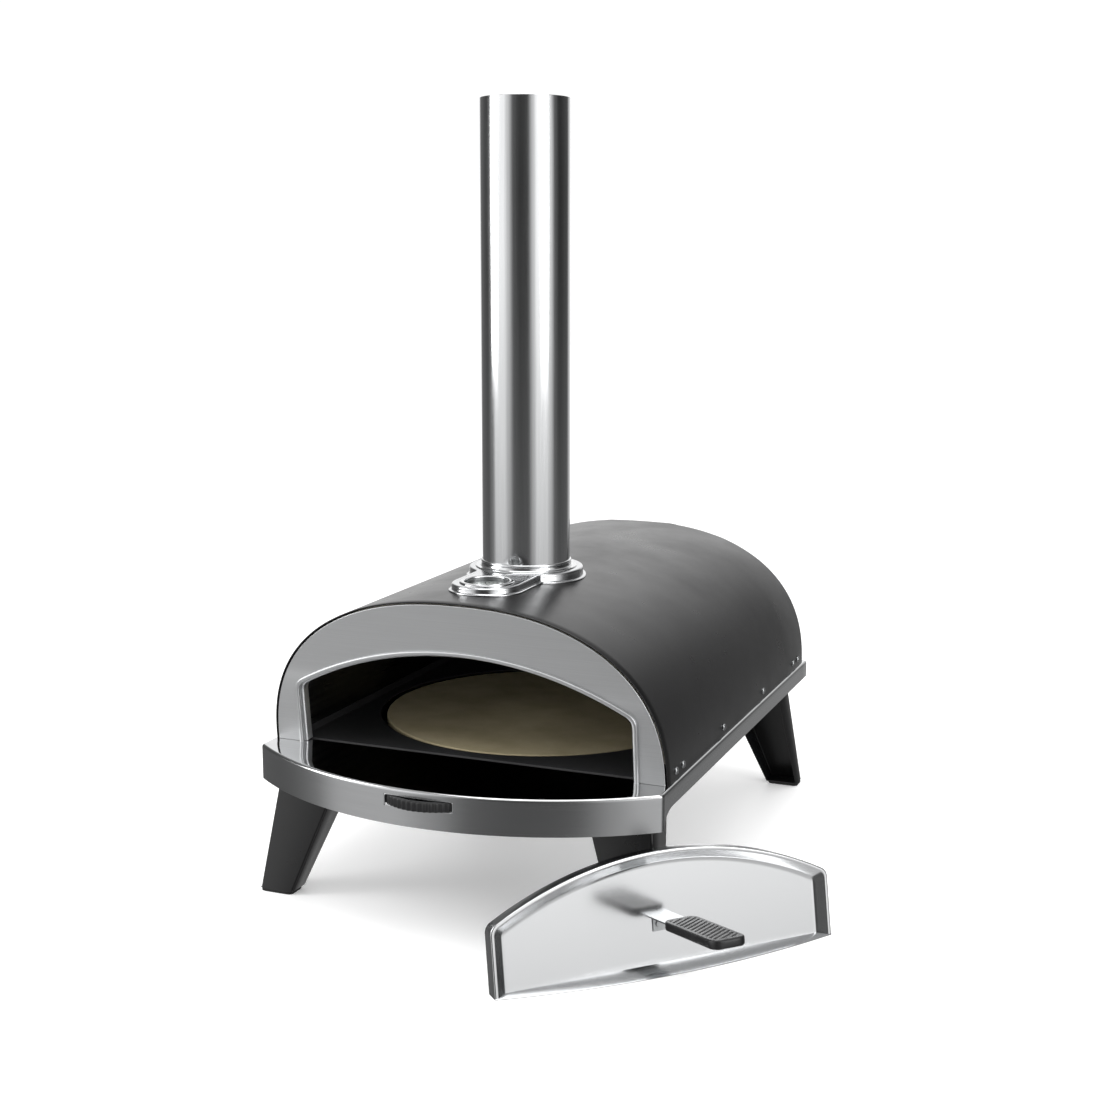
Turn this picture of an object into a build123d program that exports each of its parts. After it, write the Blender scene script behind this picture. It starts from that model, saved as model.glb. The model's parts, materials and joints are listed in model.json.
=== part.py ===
from build123d import *
import math
import os

os.makedirs("parts", exist_ok=True)

# Wood fired table-top pizza oven with a hand-turned stone, in millimetres, +Z up.
# The oven's own measures run from its centre plane (x), the foot of its front panel (y) and the ground (z).
# The origin lies on the ground under the middle of the oven and its stood-off door.
oven_x = -67.9
mouth_y = -183.0

# Sheets, and the gaps between pieces that only lie beside each other
sheet = 1.2
thin_sheet = 1.0
gap = 0.3
running_gap = 0.05

# Overall: ground to cooking level, and the vaulted body on it
tray_top = 149.0
shell_half_width = 206.8
shell_height = 158.0

# Base tray; its front bows out as far as the thumb wheel needs
tray_margin = 3.7
tray_rear_margin = 11.5
tray_front_y = -23.5
tray_corner = 7.0
tray_edge_round = 3.0
apron_height = 35.0
skirt_height = 18.5
cove_start_y = -20.0
cove_length = 24.0

# Vaulted body: its cross-section is the curve (x / half width)^power + (z / height)^power = 1
vault_power = 2.35
vault_steps = 8
panel_lean = 6.6
panel_inset = 2.7
rear_flange = 12.0
liner_gap = 20.0
liner_front_y = 12.0
rear_room = 14.0
blanket_slack = 1.2
rail_gap = 0.9
rail_height = 16.0
rail_front_y = 14.0
rail_width = 11.0
floor_upstand = 8.0
floor_side_gap = 0.8

# Mouth: an arch on straight jambs
jamb_width = 27.8
brow_height = 47.0
mouth_arch_radius = 362.0
mouth_corner = 14.0
lip_width = 4.0
lip_height = 3.0
frame_step = 2.6
frame_depth = 10.0

# Stone, turntable and stone well
stone_side_room = 21.8
sill_room = 33.6
burner_room = 147.4
stone_thickness = 12.0
stone_gap = 6.5
well_depth = 16.6
well_flange = 5.5
well_hub_hole = 24.0
carrier_radius = 150.0
carrier_thickness = 2.0
carrier_arms = 6
hub_rise = 3.0
gear_window = 0.2
gear_window_ring = 0.55
spindle_radius = 8.0
spindle_foot_radius = 17.0
bush_wall = 1.5
hub_wall = 3.5

# Gear train under the well: turntable gear, idler and thumb wheel gear
gear_module = 4.0
pressure_angle = 25.0
gear_margin = 37.0
idler_teeth = 25
idler_windows = 5
idler_window_share = 0.85
wheel_teeth = 13
gear_thickness = 3.0
gear_backlash = 0.3
gear_root_flare = 0.2
gear_floor_gap = 4.0
post_radius = 6.0
post_foot_radius = 11.0
post_head_room = 2.0
clip_thickness = 0.8
clip_width = 2.5
gear_hub_wall = 4.0

# Gear pan
pan_depth = 33.0
pan_wall_gap = 6.0
pan_nose_gap = 2.5
pan_flange = 8.0
bracket_setback = 24.0
bracket_length = 16.0
bracket_half_flange = 4.0
bracket_top_flange = 10.0
pan_screw_radius = 2.0
pan_screw_head = 3.2
pan_screw_head_height = 2.0

# Thumb wheel and the slot it reaches through
wheel_radius = 52.5
wheel_thickness = 9.0
wheel_drop = 12.0
wheel_reach = 9.4
wheel_rim = 6.0
wheel_ribs = 60
wheel_rib_radius = 1.1
wheel_spokes = 5
wheel_spoke_width = 7.0
wheel_spoke_turn = 20
slot_half_width = 35.0
slot_height = 11.0
slot_corner = 2.5

# Side bolts: distances from the shell's front and rear ends, and height over the tray
front_bolts = (23.5, 44.5, 178.5)
rear_bolts = (180.5, 47.0, 25.5)
side_bolt_height = 8.5
bolt_radius = 2.0
bolt_head_radius = 3.6
bolt_head_height = 2.4
bolt_seat_gap = 0.1
shank_reach = 2.0
rear_head_height = 2.0

# Flue, collar and chimney
flue_y = 156.0
pipe_radius = 44.9
pipe_wall = 1.0
pipe_length = 465.0
collar_rise = 7.0
collar_radius = 58.5
collar_nose_radius = 34.5
collar_lip = 3.0
socket_rise = 4.0
socket_depth = 27.0
socket_flange = 6.0
bead_radius = 1.6

# Thermometer in the collar's nose
dial_y = 58.0
dial_radius = 22.0
case_wall = 1.0
case_depth = 14.0
bezel_width = 5.0
bezel_height = 1.6
dial_drop = 8.0
glass_drop = 4.5
glass_thickness = 1.5
dial_thickness = 0.8
stem_radius = 3.0
stem_reach = 52.0
pointer_rest = 125.0
pointer_length = 16.0
pointer_tail = 6.0
pointer_width = 1.6
pointer_hub = 2.4
pointer_lift = 0.6
pointer_thickness = 0.8
arbor_radius = 1.0
arbor_hole = 1.2
dial_side_gap = 0.2

# Rear panel: the fuel hatch's opening over the burner drawer's opening
drawer_half_width = 70.0
drawer_sill = 4.0
drawer_opening_height = 50.0
hatch_half_width = 50.0
hatch_crown_gap = 22.0
hatch_overlap = 7.0
plate_gap = 3.0
hatch_top_overlap = 4.0
knuckle_step = 5.0
knuckle_inset = 12.0
hatch_pin_end = 9.0
ear_width = 6.0
ear_radius = 3.5
knob_rise = 16.0
knob_stem = 4.0
knob_stem_length = 8.0
knob_radius = 11.0
hinge_radius = 2.0
knuckle_wall = 1.4
rear_screw_count = 7
chute_wall = 1.0
chute_reach = 6.0
back_plate_margin = 6.0

# Burner drawer
basket_clearance = 3.0
basket_height = 36.0
basket_room = 29.4
basket_hole_radius = 3.0
basket_hole_step = 14.0
basket_lift = 0.5
grate_height = 12.0
grate_bars = 9
grate_bar_radius = 1.6
grate_tie_width = 5.0
grate_tie_inset = 14.0
grate_side_room = 8.0
drawer_overlap = 8.0
handle_half_length = 36.0
handle_reach = 24.0
handle_radius = 3.5
runner_height = 7.0
runner_shelf = 6.0
runner_foot = 9.0
runner_side_gap = 0.5
runner_end_gap = 2.0
guard_room = 18.8
guard_half_width = 96.0
guard_height = 26.0
guard_lip = 10.0
guard_lip_rise = 4.0

# Legs: each tapers from the foot up, leans towards the oven's middle and is open at its inner side
leg_front_reach = 12.9
leg_rear_margin = 9.7
leg_side_margin = 1.4
leg_foot_width = 36.0
leg_foot_depth = 23.4
leg_top_rise = 6.0
leg_outer_slope = 0.11
leg_inner_slope = 0.363
leg_web_slope = 0.208
leg_free_slope = 0.37
leg_pivot_drop = 29.0
leg_pivot_reach = 44.4
leg_pin_radius = 3.0
leg_ear_gap = 6.0
leg_ear_radius = 9.0
foot_height = 3.0

# Door, stood on the ground at the front right, turned and leaning back
door_x = 218.7
door_y = -42.1
door_turn = 46.5
door_lean = 10.0
door_clearance = 4.5
door_depth = 14.0
door_rim = 4.0
door_slope = 8.0
door_recess = 7.5
door_ledge_bow = 18.0
handle_height = 42.0
bracket_width = 24.0
bracket_foot = 12.5
bracket_tongue = 22.0
grip_start = 33.5
grip_length = 94.0
grip_width = 34.0
grip_thickness = 8.0
door_rivet_radius = 2.0


def level(height):
    """Horizontal plane at a height over the ground, in the oven's own x and y."""
    return Plane(origin=(oven_x, mouth_y, height))


def across(y):
    """Upright plane facing the front; extruding a positive amount comes forward."""
    return Plane(origin=(oven_x, mouth_y + y, 0), x_dir=(1, 0, 0), z_dir=(0, -1, 0))


def along(x):
    """Upright plane facing the right; its own x runs from front to rear."""
    return Plane(origin=(oven_x + x, mouth_y, 0), x_dir=(0, 1, 0), z_dir=(1, 0, 0))


def save(part, name):
    """Label a finished piece and write its STEP file."""
    part.label = name
    export_step(part, f"parts/{name}.step")


# Sizes that follow from the ones above: width first, then the stone, the gears, the apron and the length
tray_half_width = shell_half_width + tray_margin
liner_half_width = shell_half_width - liner_gap
liner_height = shell_height - liner_gap
stone_radius = liner_half_width - stone_side_room
stone_y = stone_radius + sill_room
turntable_teeth = math.floor(2 * (stone_radius - gear_margin) / gear_module)
turntable_pitch = gear_module * turntable_teeth / 2
idler_pitch = gear_module * idler_teeth / 2
wheel_pitch = gear_module * wheel_teeth / 2
idler_y = stone_y - turntable_pitch - idler_pitch
wheel_y = idler_y - idler_pitch - wheel_pitch
wheel_height = tray_top - wheel_drop
tray_bow = tray_front_y - (wheel_y - wheel_radius + wheel_reach)
shell_length = stone_y + stone_radius + burner_room
tray_rear_y = shell_length + tray_rear_margin
liner_rear_y = shell_length - rear_room
mouth_half_width = shell_half_width - jamb_width
mouth_apex = shell_height - brow_height
collar_z = tray_top + shell_height + collar_rise
pipe_top = collar_z + pipe_length
pan_floor = tray_top - pan_depth

lean = math.radians(panel_lean)
front = Plane(
    origin=(oven_x, mouth_y, tray_top),
    x_dir=(1, 0, 0),
    z_dir=(0, -math.cos(lean), -math.sin(lean)),
)


def vault(half_width, height, base=tray_top, mode=Mode.ADD):
    """Draw the vault's cross-section, standing on base, in the sketch being built."""
    points = []
    for step in range(vault_steps + 1):
        turn = math.pi / 2 * step / vault_steps
        x = half_width * math.cos(turn) ** (2 / vault_power)
        z = height * math.sin(turn) ** (2 / vault_power)
        points.append((x, base + z))
    with BuildLine() as outline:
        Spline(*points, tangents=[(0, 1), (-1, 0)])
        mirror(about=Plane.YZ)
        Line((-half_width, base), (half_width, base))
    make_face(outline.edges(), mode=mode)


def arch(inset, foot=0.0, mode=Mode.ADD):
    """Draw the mouth's outline, drawn in by inset, in the sketch being built."""
    half_width = mouth_half_width - inset
    apex = mouth_apex - inset
    radius = mouth_arch_radius - inset
    spring = apex - radius + math.sqrt(radius**2 - half_width**2)
    with BuildSketch(mode=Mode.PRIVATE) as shape:
        with BuildLine() as outline:
            Line((half_width, foot), (half_width, spring))
            ThreePointArc((half_width, spring), (0, apex), (-half_width, spring))
            Line((-half_width, spring), (-half_width, foot))
            Line((-half_width, foot), (half_width, foot))
        make_face(outline.edges())
        fillet(shape.vertices().group_by(Axis.Y)[-1], radius=mouth_corner - inset / 2)
    add(shape.sketch, mode=mode)


def disc(x, y, radius, mode=Mode.ADD):
    """Draw a circle at a place in the sketch being built."""
    with Locations((x, y)):
        Circle(radius, mode=mode)


def rod(plane, places, radius, length, mode=Mode.ADD):
    """Extrude round rods at places on a plane, in the part being built."""
    with BuildSketch(plane) as section:
        with Locations(*places):
            Circle(radius)
    extrude(section.sketch, amount=length, mode=mode)


# Base tray: bowed front apron, side skirts that step up behind a cove, stone opening and wheel slot
tray_under = tray_top - sheet
well_radius = stone_radius + stone_gap
slot_floor = wheel_height - slot_height / 2

with BuildPart() as base_tray:
    with BuildSketch(level(tray_top - apron_height)) as tray_plan:
        with BuildLine() as tray_outline:
            ThreePointArc(
                (-tray_half_width, tray_front_y),
                (0, tray_front_y - tray_bow),
                (tray_half_width, tray_front_y),
            )
            Polyline(
                (tray_half_width, tray_front_y),
                (tray_half_width, tray_rear_y),
                (-tray_half_width, tray_rear_y),
                (-tray_half_width, tray_front_y),
            )
        make_face()
        fillet(tray_plan.vertices(), radius=tray_corner)
    extrude(amount=apron_height)
    fillet(base_tray.edges().group_by(Axis.Z)[-1], radius=tray_edge_round)
    offset(amount=-sheet, openings=base_tray.faces().sort_by(Axis.Z)[0])
    with BuildSketch(along(0)) as cove:
        bottom = tray_top - apron_height
        step_up = tray_top - skirt_height
        with BuildLine() as cove_outline:
            cove_end_y = cove_start_y + cove_length
            EllipticalCenterArc(
                (cove_end_y, bottom), cove_length, step_up - bottom, start_angle=90, arc_size=90
            )
            Polyline(
                (cove_end_y, step_up),
                (tray_rear_y + 1, step_up),
                (tray_rear_y + 1, bottom - 1),
                (cove_start_y, bottom - 1),
                (cove_start_y, bottom),
            )
        make_face()
    extrude(amount=2 * tray_half_width, both=True, mode=Mode.SUBTRACT)
    with BuildSketch(level(tray_under - 1)):
        disc(0, stone_y, well_radius)
    extrude(amount=sheet + 2, mode=Mode.SUBTRACT)
    with BuildSketch(across(tray_front_y)):
        with Locations((0, wheel_height)):
            RectangleRounded(2 * slot_half_width, slot_height, slot_corner)
    extrude(amount=tray_bow + 1, mode=Mode.SUBTRACT)
save(base_tray.part, "base_tray")

# Black floor plate inside the vault, its sides turned up along the liner
liner_inside = liner_half_width - thin_sheet
floor_half_width = liner_inside - floor_side_gap
floor_top = tray_top + thin_sheet

with BuildPart() as floor_plate:
    with BuildSketch(across(liner_rear_y - 1)) as floor_section:
        with BuildLine() as floor_outline:
            Polyline(
                (-floor_half_width, tray_top),
                (floor_half_width, tray_top),
                (floor_half_width, tray_top + floor_upstand),
                (floor_half_width - thin_sheet, tray_top + floor_upstand),
                (floor_half_width - thin_sheet, floor_top),
                (thin_sheet - floor_half_width, floor_top),
                (thin_sheet - floor_half_width, tray_top + floor_upstand),
                (-floor_half_width, tray_top + floor_upstand),
                (-floor_half_width, tray_top),
            )
        make_face()
    extrude(amount=liner_rear_y - 1 - liner_front_y)
    with BuildSketch(level(tray_top - 1)):
        disc(0, stone_y, well_radius)
    extrude(amount=sheet + 2, mode=Mode.SUBTRACT)
save(floor_plate.part, "floor_plate")

# Stone well: a round pan hung under the tray's opening, with the gear pan screwed under it
addendum = 0.9 * gear_module
dedendum = 1.15 * gear_module
pan_round = turntable_pitch + addendum + pan_wall_gap
pan_nose = wheel_pitch + addendum + pan_nose_gap
pan_screw_ring = pan_round + pan_flange / 2
pan_screw_places = []
for angle in (-25, 25, 90, 155, 205):
    turn = math.radians(angle)
    pan_screw_places.append((pan_screw_ring * math.cos(turn), stone_y + pan_screw_ring * math.sin(turn)))
well_floor = tray_top - well_depth
well_outside = well_radius + thin_sheet

with BuildPart() as stone_well:
    with BuildSketch(across(stone_y)):
        with BuildLine() as well_outline:
            Polyline(
                (well_hub_hole, well_floor),
                (well_radius, well_floor),
                (well_radius, tray_under),
                (well_outside + well_flange, tray_under),
                (well_outside + well_flange, tray_under - thin_sheet),
                (well_outside, tray_under - thin_sheet),
                (well_outside, well_floor - thin_sheet),
                (well_hub_hole, well_floor - thin_sheet),
                (well_hub_hole, well_floor),
            )
        make_face()
    revolve(axis=Axis((oven_x, mouth_y + stone_y, 0), (0, 0, 1)))
    rod(level(well_floor - 2 * thin_sheet), pan_screw_places, pan_screw_radius, well_depth, mode=Mode.SUBTRACT)
save(stone_well.part, "stone_well")

# Gear train: three gears in one row from the turntable to the thumb wheel
pan_inside = pan_floor + thin_sheet
gear_low = pan_inside + gear_floor_gap
well_under = well_floor - thin_sheet


def gear(teeth, y):
    """Draw a spur gear with involute flanks and one tooth towards the front."""
    pitch = gear_module * teeth / 2
    flat = math.radians(pressure_angle)
    base = pitch * math.cos(flat)
    half_tooth = (math.pi * gear_module / 2 - gear_backlash) / 2 / pitch
    flank = []
    for share in (0, 0.35, 0.7, 1):
        start = max(base, pitch - dedendum)
        radius = start + share * (pitch + addendum - start)
        roll = math.acos(base / radius)
        half_angle = half_tooth + (math.tan(flat) - flat) - (math.tan(roll) - roll)
        flank.append((radius, half_angle))
    flank.insert(0, (pitch - dedendum, flank[0][1] + gear_root_flare / (pitch - dedendum)))
    points = []
    for tooth in range(teeth):
        middle = 2 * math.pi * tooth / teeth - math.pi / 2
        for radius, half_angle in flank:
            points.append((radius * math.cos(middle - half_angle), y + radius * math.sin(middle - half_angle)))
        for radius, half_angle in reversed(flank):
            points.append((radius * math.cos(middle + half_angle), y + radius * math.sin(middle + half_angle)))
    with BuildLine() as outline:
        Polyline(*points, close=True)
    make_face(outline.edges())


# Turntable: fixed spindle, bush, carrier with its hub, gear and stone
hub_radius = spindle_radius + running_gap + bush_wall + hub_wall
stone_low = tray_top - stone_thickness
carrier_low = stone_low - carrier_thickness
hub_low = pan_inside + hub_rise

with BuildPart() as turntable_spindle:
    rod(level(pan_inside), [(0, stone_y)], spindle_foot_radius, hub_low - gap - pan_inside)
    rod(level(pan_inside), [(0, stone_y)], spindle_radius, carrier_low - gap - pan_inside)
save(turntable_spindle.part, "turntable_spindle")

with BuildPart() as turntable_bush:
    with BuildSketch(level(hub_low)):
        disc(0, stone_y, hub_radius - hub_wall)
        disc(0, stone_y, spindle_radius + running_gap, mode=Mode.SUBTRACT)
    extrude(amount=carrier_low - hub_low)
save(turntable_bush.part, "turntable_bush")

with BuildPart() as turntable_carrier:
    with BuildSketch(level(carrier_low)):
        disc(0, stone_y, carrier_radius)
        arm_middle = (carrier_radius + hub_radius) / 2
        with Locations((0, stone_y)):
            with PolarLocations(arm_middle, carrier_arms):
                Circle(arm_middle / 3, mode=Mode.SUBTRACT)
    extrude(amount=carrier_thickness)
    with BuildSketch(level(hub_low)):
        disc(0, stone_y, hub_radius)
    extrude(amount=carrier_low - hub_low)
    with BuildSketch(level(hub_low)):
        disc(0, stone_y, hub_radius - hub_wall)
    extrude(amount=carrier_low - hub_low, mode=Mode.SUBTRACT)
save(turntable_carrier.part, "turntable_carrier")

with BuildPart() as turntable_gear:
    with BuildSketch(level(gear_low)):
        gear(turntable_teeth, stone_y)
        disc(0, stone_y, hub_radius, mode=Mode.SUBTRACT)
        with Locations((0, stone_y)):
            with PolarLocations(turntable_pitch * gear_window_ring, carrier_arms):
                Circle(turntable_pitch * gear_window, mode=Mode.SUBTRACT)
    extrude(amount=gear_thickness)
save(turntable_gear.part, "turntable_gear")

with BuildPart() as pizza_stone:
    with BuildSketch(level(stone_low)):
        disc(0, stone_y, stone_radius)
    extrude(amount=stone_thickness)
    fillet(pizza_stone.edges().group_by(Axis.Z)[-1], radius=1.5)
save(pizza_stone.part, "pizza_stone")

# Idler and thumb wheel on fixed posts
idler_top = well_under - post_head_room
wheel_post_top = tray_under - post_head_room
wheel_low = wheel_height - wheel_thickness / 2
wheel_top = wheel_height + wheel_thickness / 2
post_hub = post_radius + running_gap + gear_hub_wall

with BuildPart() as gear_posts:
    for y, top in ((idler_y, idler_top), (wheel_y, wheel_post_top)):
        rod(level(pan_inside), [(0, y)], post_foot_radius, hub_low - gap - pan_inside)
        rod(level(pan_inside), [(0, y)], post_radius, top - pan_inside)
save(gear_posts.part, "gear_posts")

with BuildPart() as post_clips:
    for y, top in ((idler_y, idler_top), (wheel_y, wheel_post_top)):
        with BuildSketch(level(top - 2 * clip_thickness)):
            disc(0, y, post_radius + clip_width)
            disc(0, y, post_radius, mode=Mode.SUBTRACT)
        extrude(amount=clip_thickness)
save(post_clips.part, "post_clips")

with BuildPart() as idler_gear:
    with BuildSketch(level(gear_low)):
        gear(idler_teeth, idler_y)
        with Locations((0, idler_y)):
            with PolarLocations(idler_pitch * gear_window_ring, idler_windows):
                Circle(idler_pitch * gear_window * idler_window_share, mode=Mode.SUBTRACT)
    extrude(amount=gear_thickness)
    rod(level(hub_low), [(0, idler_y)], post_hub, idler_top - 3 * clip_thickness - hub_low)
    rod(level(hub_low), [(0, idler_y)], post_radius + running_gap, idler_top, mode=Mode.SUBTRACT)
save(idler_gear.part, "idler_gear")

with BuildPart() as thumb_wheel:
    with BuildSketch(level(wheel_low)):
        disc(0, wheel_y, wheel_radius)
        disc(0, wheel_y, wheel_radius - wheel_rim, mode=Mode.SUBTRACT)
        with Locations((0, wheel_y)):
            with PolarLocations(wheel_radius + wheel_rib_radius / 2, wheel_ribs):
                Circle(wheel_rib_radius, mode=Mode.SUBTRACT)
    extrude(amount=wheel_thickness)
    with BuildSketch(level(wheel_low + wheel_thickness / 4)):
        spoke_length = wheel_radius - wheel_rim / 2
        with Locations((0, wheel_y)):
            with PolarLocations(spoke_length / 2, wheel_spokes, start_angle=wheel_spoke_turn):
                Rectangle(spoke_length, wheel_spoke_width)
    extrude(amount=wheel_thickness / 2)
    rod(level(hub_low), [(0, wheel_y)], post_hub, wheel_top - hub_low)
    rod(level(hub_low), [(0, wheel_y)], post_radius + running_gap, wheel_top, mode=Mode.SUBTRACT)
save(thumb_wheel.part, "thumb_wheel")

with BuildPart() as wheel_gear:
    with BuildSketch(level(gear_low)):
        gear(wheel_teeth, wheel_y)
        disc(0, wheel_y, post_hub, mode=Mode.SUBTRACT)
    extrude(amount=gear_thickness)
save(wheel_gear.part, "wheel_gear")

# Gear pan with its flange, the brackets at its front and the screws into the well
pan_rim = well_under


def pan_plan(grow, mode=Mode.ADD):
    """Draw the pan's outline round the gears, grown outwards."""
    with BuildSketch(mode=Mode.PRIVATE) as plan:
        disc(0, stone_y, pan_round + grow)
        disc(0, wheel_y, pan_nose + grow)
        make_hull()
    add(plan.sketch, mode=mode)


with BuildPart() as gear_pan:
    with BuildSketch(level(pan_floor)):
        pan_plan(0)
    extrude(amount=pan_rim - pan_floor)
    with BuildSketch(level(pan_rim - thin_sheet)):
        pan_plan(pan_flange)
    extrude(amount=thin_sheet)
    with BuildSketch(level(pan_inside)):
        pan_plan(-thin_sheet)
    extrude(amount=pan_rim, mode=Mode.SUBTRACT)
    rod(level(pan_inside), pan_screw_places, pan_screw_radius, pan_rim, mode=Mode.SUBTRACT)
save(gear_pan.part, "gear_pan")

with BuildPart() as pan_screws:
    screw_low = pan_rim - thin_sheet - pan_screw_head_height
    rod(level(screw_low), pan_screw_places, pan_screw_head, pan_screw_head_height)
    rod(level(pan_rim - thin_sheet), pan_screw_places, pan_screw_radius, 2 * thin_sheet)
save(pan_screws.part, "pan_screws")

hull_turn = math.asin((pan_round - pan_nose) / (stone_y - wheel_y))
bracket_y = tray_front_y + bracket_setback
bracket_x = (pan_nose + (bracket_y - wheel_y) * math.sin(hull_turn) + pan_flange / 2) / math.cos(hull_turn)

with BuildPart() as pan_brackets:
    with BuildSketch(across(bracket_y + bracket_length / 2)):
        for side in (-1, 1):
            with BuildLine() as bracket_outline:
                inner = side * (bracket_x - bracket_half_flange)
                web = side * (bracket_x + bracket_half_flange)
                web_out = side * (bracket_x + bracket_half_flange + sheet)
                outer = side * (bracket_x + bracket_half_flange + bracket_top_flange)
                Polyline(
                    (inner, pan_rim),
                    (web_out, pan_rim),
                    (web_out, tray_under - sheet),
                    (outer, tray_under - sheet),
                    (outer, tray_under),
                    (web, tray_under),
                    (web, pan_rim + sheet),
                    (inner, pan_rim + sheet),
                    close=True,
                )
            make_face(bracket_outline.edges())
    extrude(amount=bracket_length)
save(pan_brackets.part, "pan_brackets")

# Outer shell: the vault's skin, cut off by the leaning front, with a rear flange turned in
flue_hole = pipe_radius + gap + thin_sheet + gap
stem_hole = stem_radius + gap
bolt_rows = list(front_bolts) + [shell_length - distance for distance in rear_bolts]
bolt_places = [(y, tray_top + side_bolt_height) for y in bolt_rows]


def skin(grow, inner_grow, y_rear, y_front):
    """Build a vaulted skin between two drawn-out outlines, in the part being built."""
    with BuildSketch(across(y_rear)) as section:
        vault(shell_half_width + grow, shell_height + grow)
        vault(shell_half_width + inner_grow, shell_height + inner_grow, mode=Mode.SUBTRACT)
    extrude(section.sketch, amount=y_rear - y_front)


def flue_holes(radius, stem, start=100.0, reach=100.0):
    """Cut the flue's and the thermometer stem's holes down through the vault."""
    rod(level(tray_top + start), [(0, flue_y)], radius, reach, mode=Mode.SUBTRACT)
    rod(level(tray_top + start), [(0, dial_y)], stem, reach, mode=Mode.SUBTRACT)


case_radius = dial_radius + case_wall

with BuildPart() as outer_shell:
    skin(0, -sheet, shell_length, -60.0)
    split(bisect_by=front, keep=Keep.BOTTOM)
    skin(-sheet / 2, -rear_flange, shell_length, shell_length - sheet)
    flue_holes(flue_hole, case_radius + gap)
    rod(along(-shell_half_width - 5), bolt_places, bolt_radius + gap, 10, mode=Mode.SUBTRACT)
    rod(along(shell_half_width - 5), bolt_places, bolt_radius + gap, 10, mode=Mode.SUBTRACT)
    rear_screw_places = []
    for step in range(rear_screw_count):
        turn = math.pi * (step + 0.5) / rear_screw_count
        screw_half_width = shell_half_width - rear_flange / 2
        screw_height = shell_height - rear_flange / 2
        x = math.copysign(abs(math.cos(turn)) ** (2 / vault_power), math.cos(turn)) * screw_half_width
        rear_screw_places.append((x, tray_top + screw_height * math.sin(turn) ** (2 / vault_power)))
    rod(across(shell_length), rear_screw_places, bolt_radius, sheet, mode=Mode.SUBTRACT)
save(outer_shell.part, "outer_shell")

# Angle rails along both feet of the shell, and the bolts through shell and rail
rail_x = shell_half_width - sheet - rail_gap
rail_rear_y = shell_length - sheet - panel_inset

with BuildPart() as side_rails:
    with BuildSketch(across(rail_rear_y)):
        for side in (-1, 1):
            with BuildLine() as rail_outline:
                Polyline(
                    (side * rail_x, tray_top),
                    (side * rail_x, tray_top + rail_height),
                    (side * (rail_x - sheet), tray_top + rail_height),
                    (side * (rail_x - sheet), tray_top + sheet),
                    (side * (rail_x - rail_width), tray_top + sheet),
                    (side * (rail_x - rail_width), tray_top),
                    close=True,
                )
            make_face(rail_outline.edges())
    extrude(amount=rail_rear_y - rail_front_y)
    rod(along(-rail_x - 5), bolt_places, bolt_radius, 10, mode=Mode.SUBTRACT)
    rod(along(rail_x - 5), bolt_places, bolt_radius, 10, mode=Mode.SUBTRACT)
save(side_rails.part, "side_rails")

shank_end = rail_x - sheet - shank_reach
shank_start = shell_half_width + bolt_seat_gap

with BuildPart() as side_bolts:
    rod(along(shank_end), bolt_places, bolt_radius, shank_start - shank_end)
    rod(along(shank_start), bolt_places, bolt_head_radius, bolt_head_height)
    rod(along(-shank_start), bolt_places, bolt_radius, shank_start - shank_end)
    rod(along(-shank_start - bolt_head_height), bolt_places, bolt_head_radius, bolt_head_height)
    outer_rims = side_bolts.faces().filter_by(Axis.X).group_by(Axis.X)
    head_rims = [rim for face in outer_rims[-1] + outer_rims[0] for rim in face.edges()]
    fillet(head_rims, radius=0.75 * bolt_head_height)
save(side_bolts.part, "side_bolts")

# Inner liner and the insulating blanket between liner and shell
with BuildPart() as inner_liner:
    skin(-liner_gap, -liner_gap - thin_sheet, liner_rear_y, -60.0)
    split(bisect_by=front.offset(-liner_front_y), keep=Keep.BOTTOM)
    flue_holes(flue_hole, stem_hole)
save(inner_liner.part, "inner_liner")

with BuildPart() as insulation:
    skin(-sheet - blanket_slack, -liner_gap + blanket_slack, liner_rear_y, -60.0)
    split(bisect_by=front.offset(-liner_front_y), keep=Keep.BOTTOM)
    split(bisect_by=level(tray_top + rail_height + 2.0), keep=Keep.TOP)
    flue_holes(flue_hole + 1.0, case_radius + 1.0)
save(insulation.part, "insulation")

# Front panel with a rolled lip round the mouth, and the frame behind it
panel_half_width = shell_half_width - panel_inset
panel_height = (shell_height - panel_inset) / math.cos(lean)

with BuildPart() as front_panel:
    with BuildSketch(front):
        vault(panel_half_width, panel_height, base=0)
        arch(lip_width, foot=-10.0, mode=Mode.SUBTRACT)
    extrude(amount=-sheet)
    with BuildSketch(front):
        arch(0)
        arch(lip_width, foot=-10.0, mode=Mode.SUBTRACT)
    extrude(amount=lip_height)
    lip_face = front_panel.faces().sort_by(Axis(front.origin, front.z_dir))[-1]
    lip_edges = [edge for edge in lip_face.edges() if edge.length > lip_width + 1]
    fillet(lip_edges, radius=lip_width * 0.35)
    split(bisect_by=level(tray_top + 0.2), keep=Keep.TOP)
save(front_panel.part, "front_panel")

frame_back = front.offset(-sheet - gap)
frame_inset = lip_width + frame_step

with BuildPart() as mouth_frame:
    with BuildSketch(frame_back):
        vault(shell_half_width - liner_gap, liner_height / math.cos(lean), base=0)
        arch(frame_inset, foot=-10.0, mode=Mode.SUBTRACT)
    extrude(amount=-sheet)
    with BuildSketch(frame_back):
        arch(frame_inset - sheet)
        arch(frame_inset, foot=-10.0, mode=Mode.SUBTRACT)
    extrude(amount=-frame_depth)
    split(bisect_by=level(tray_top + 0.2), keep=Keep.TOP)
save(mouth_frame.part, "mouth_frame")

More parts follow.
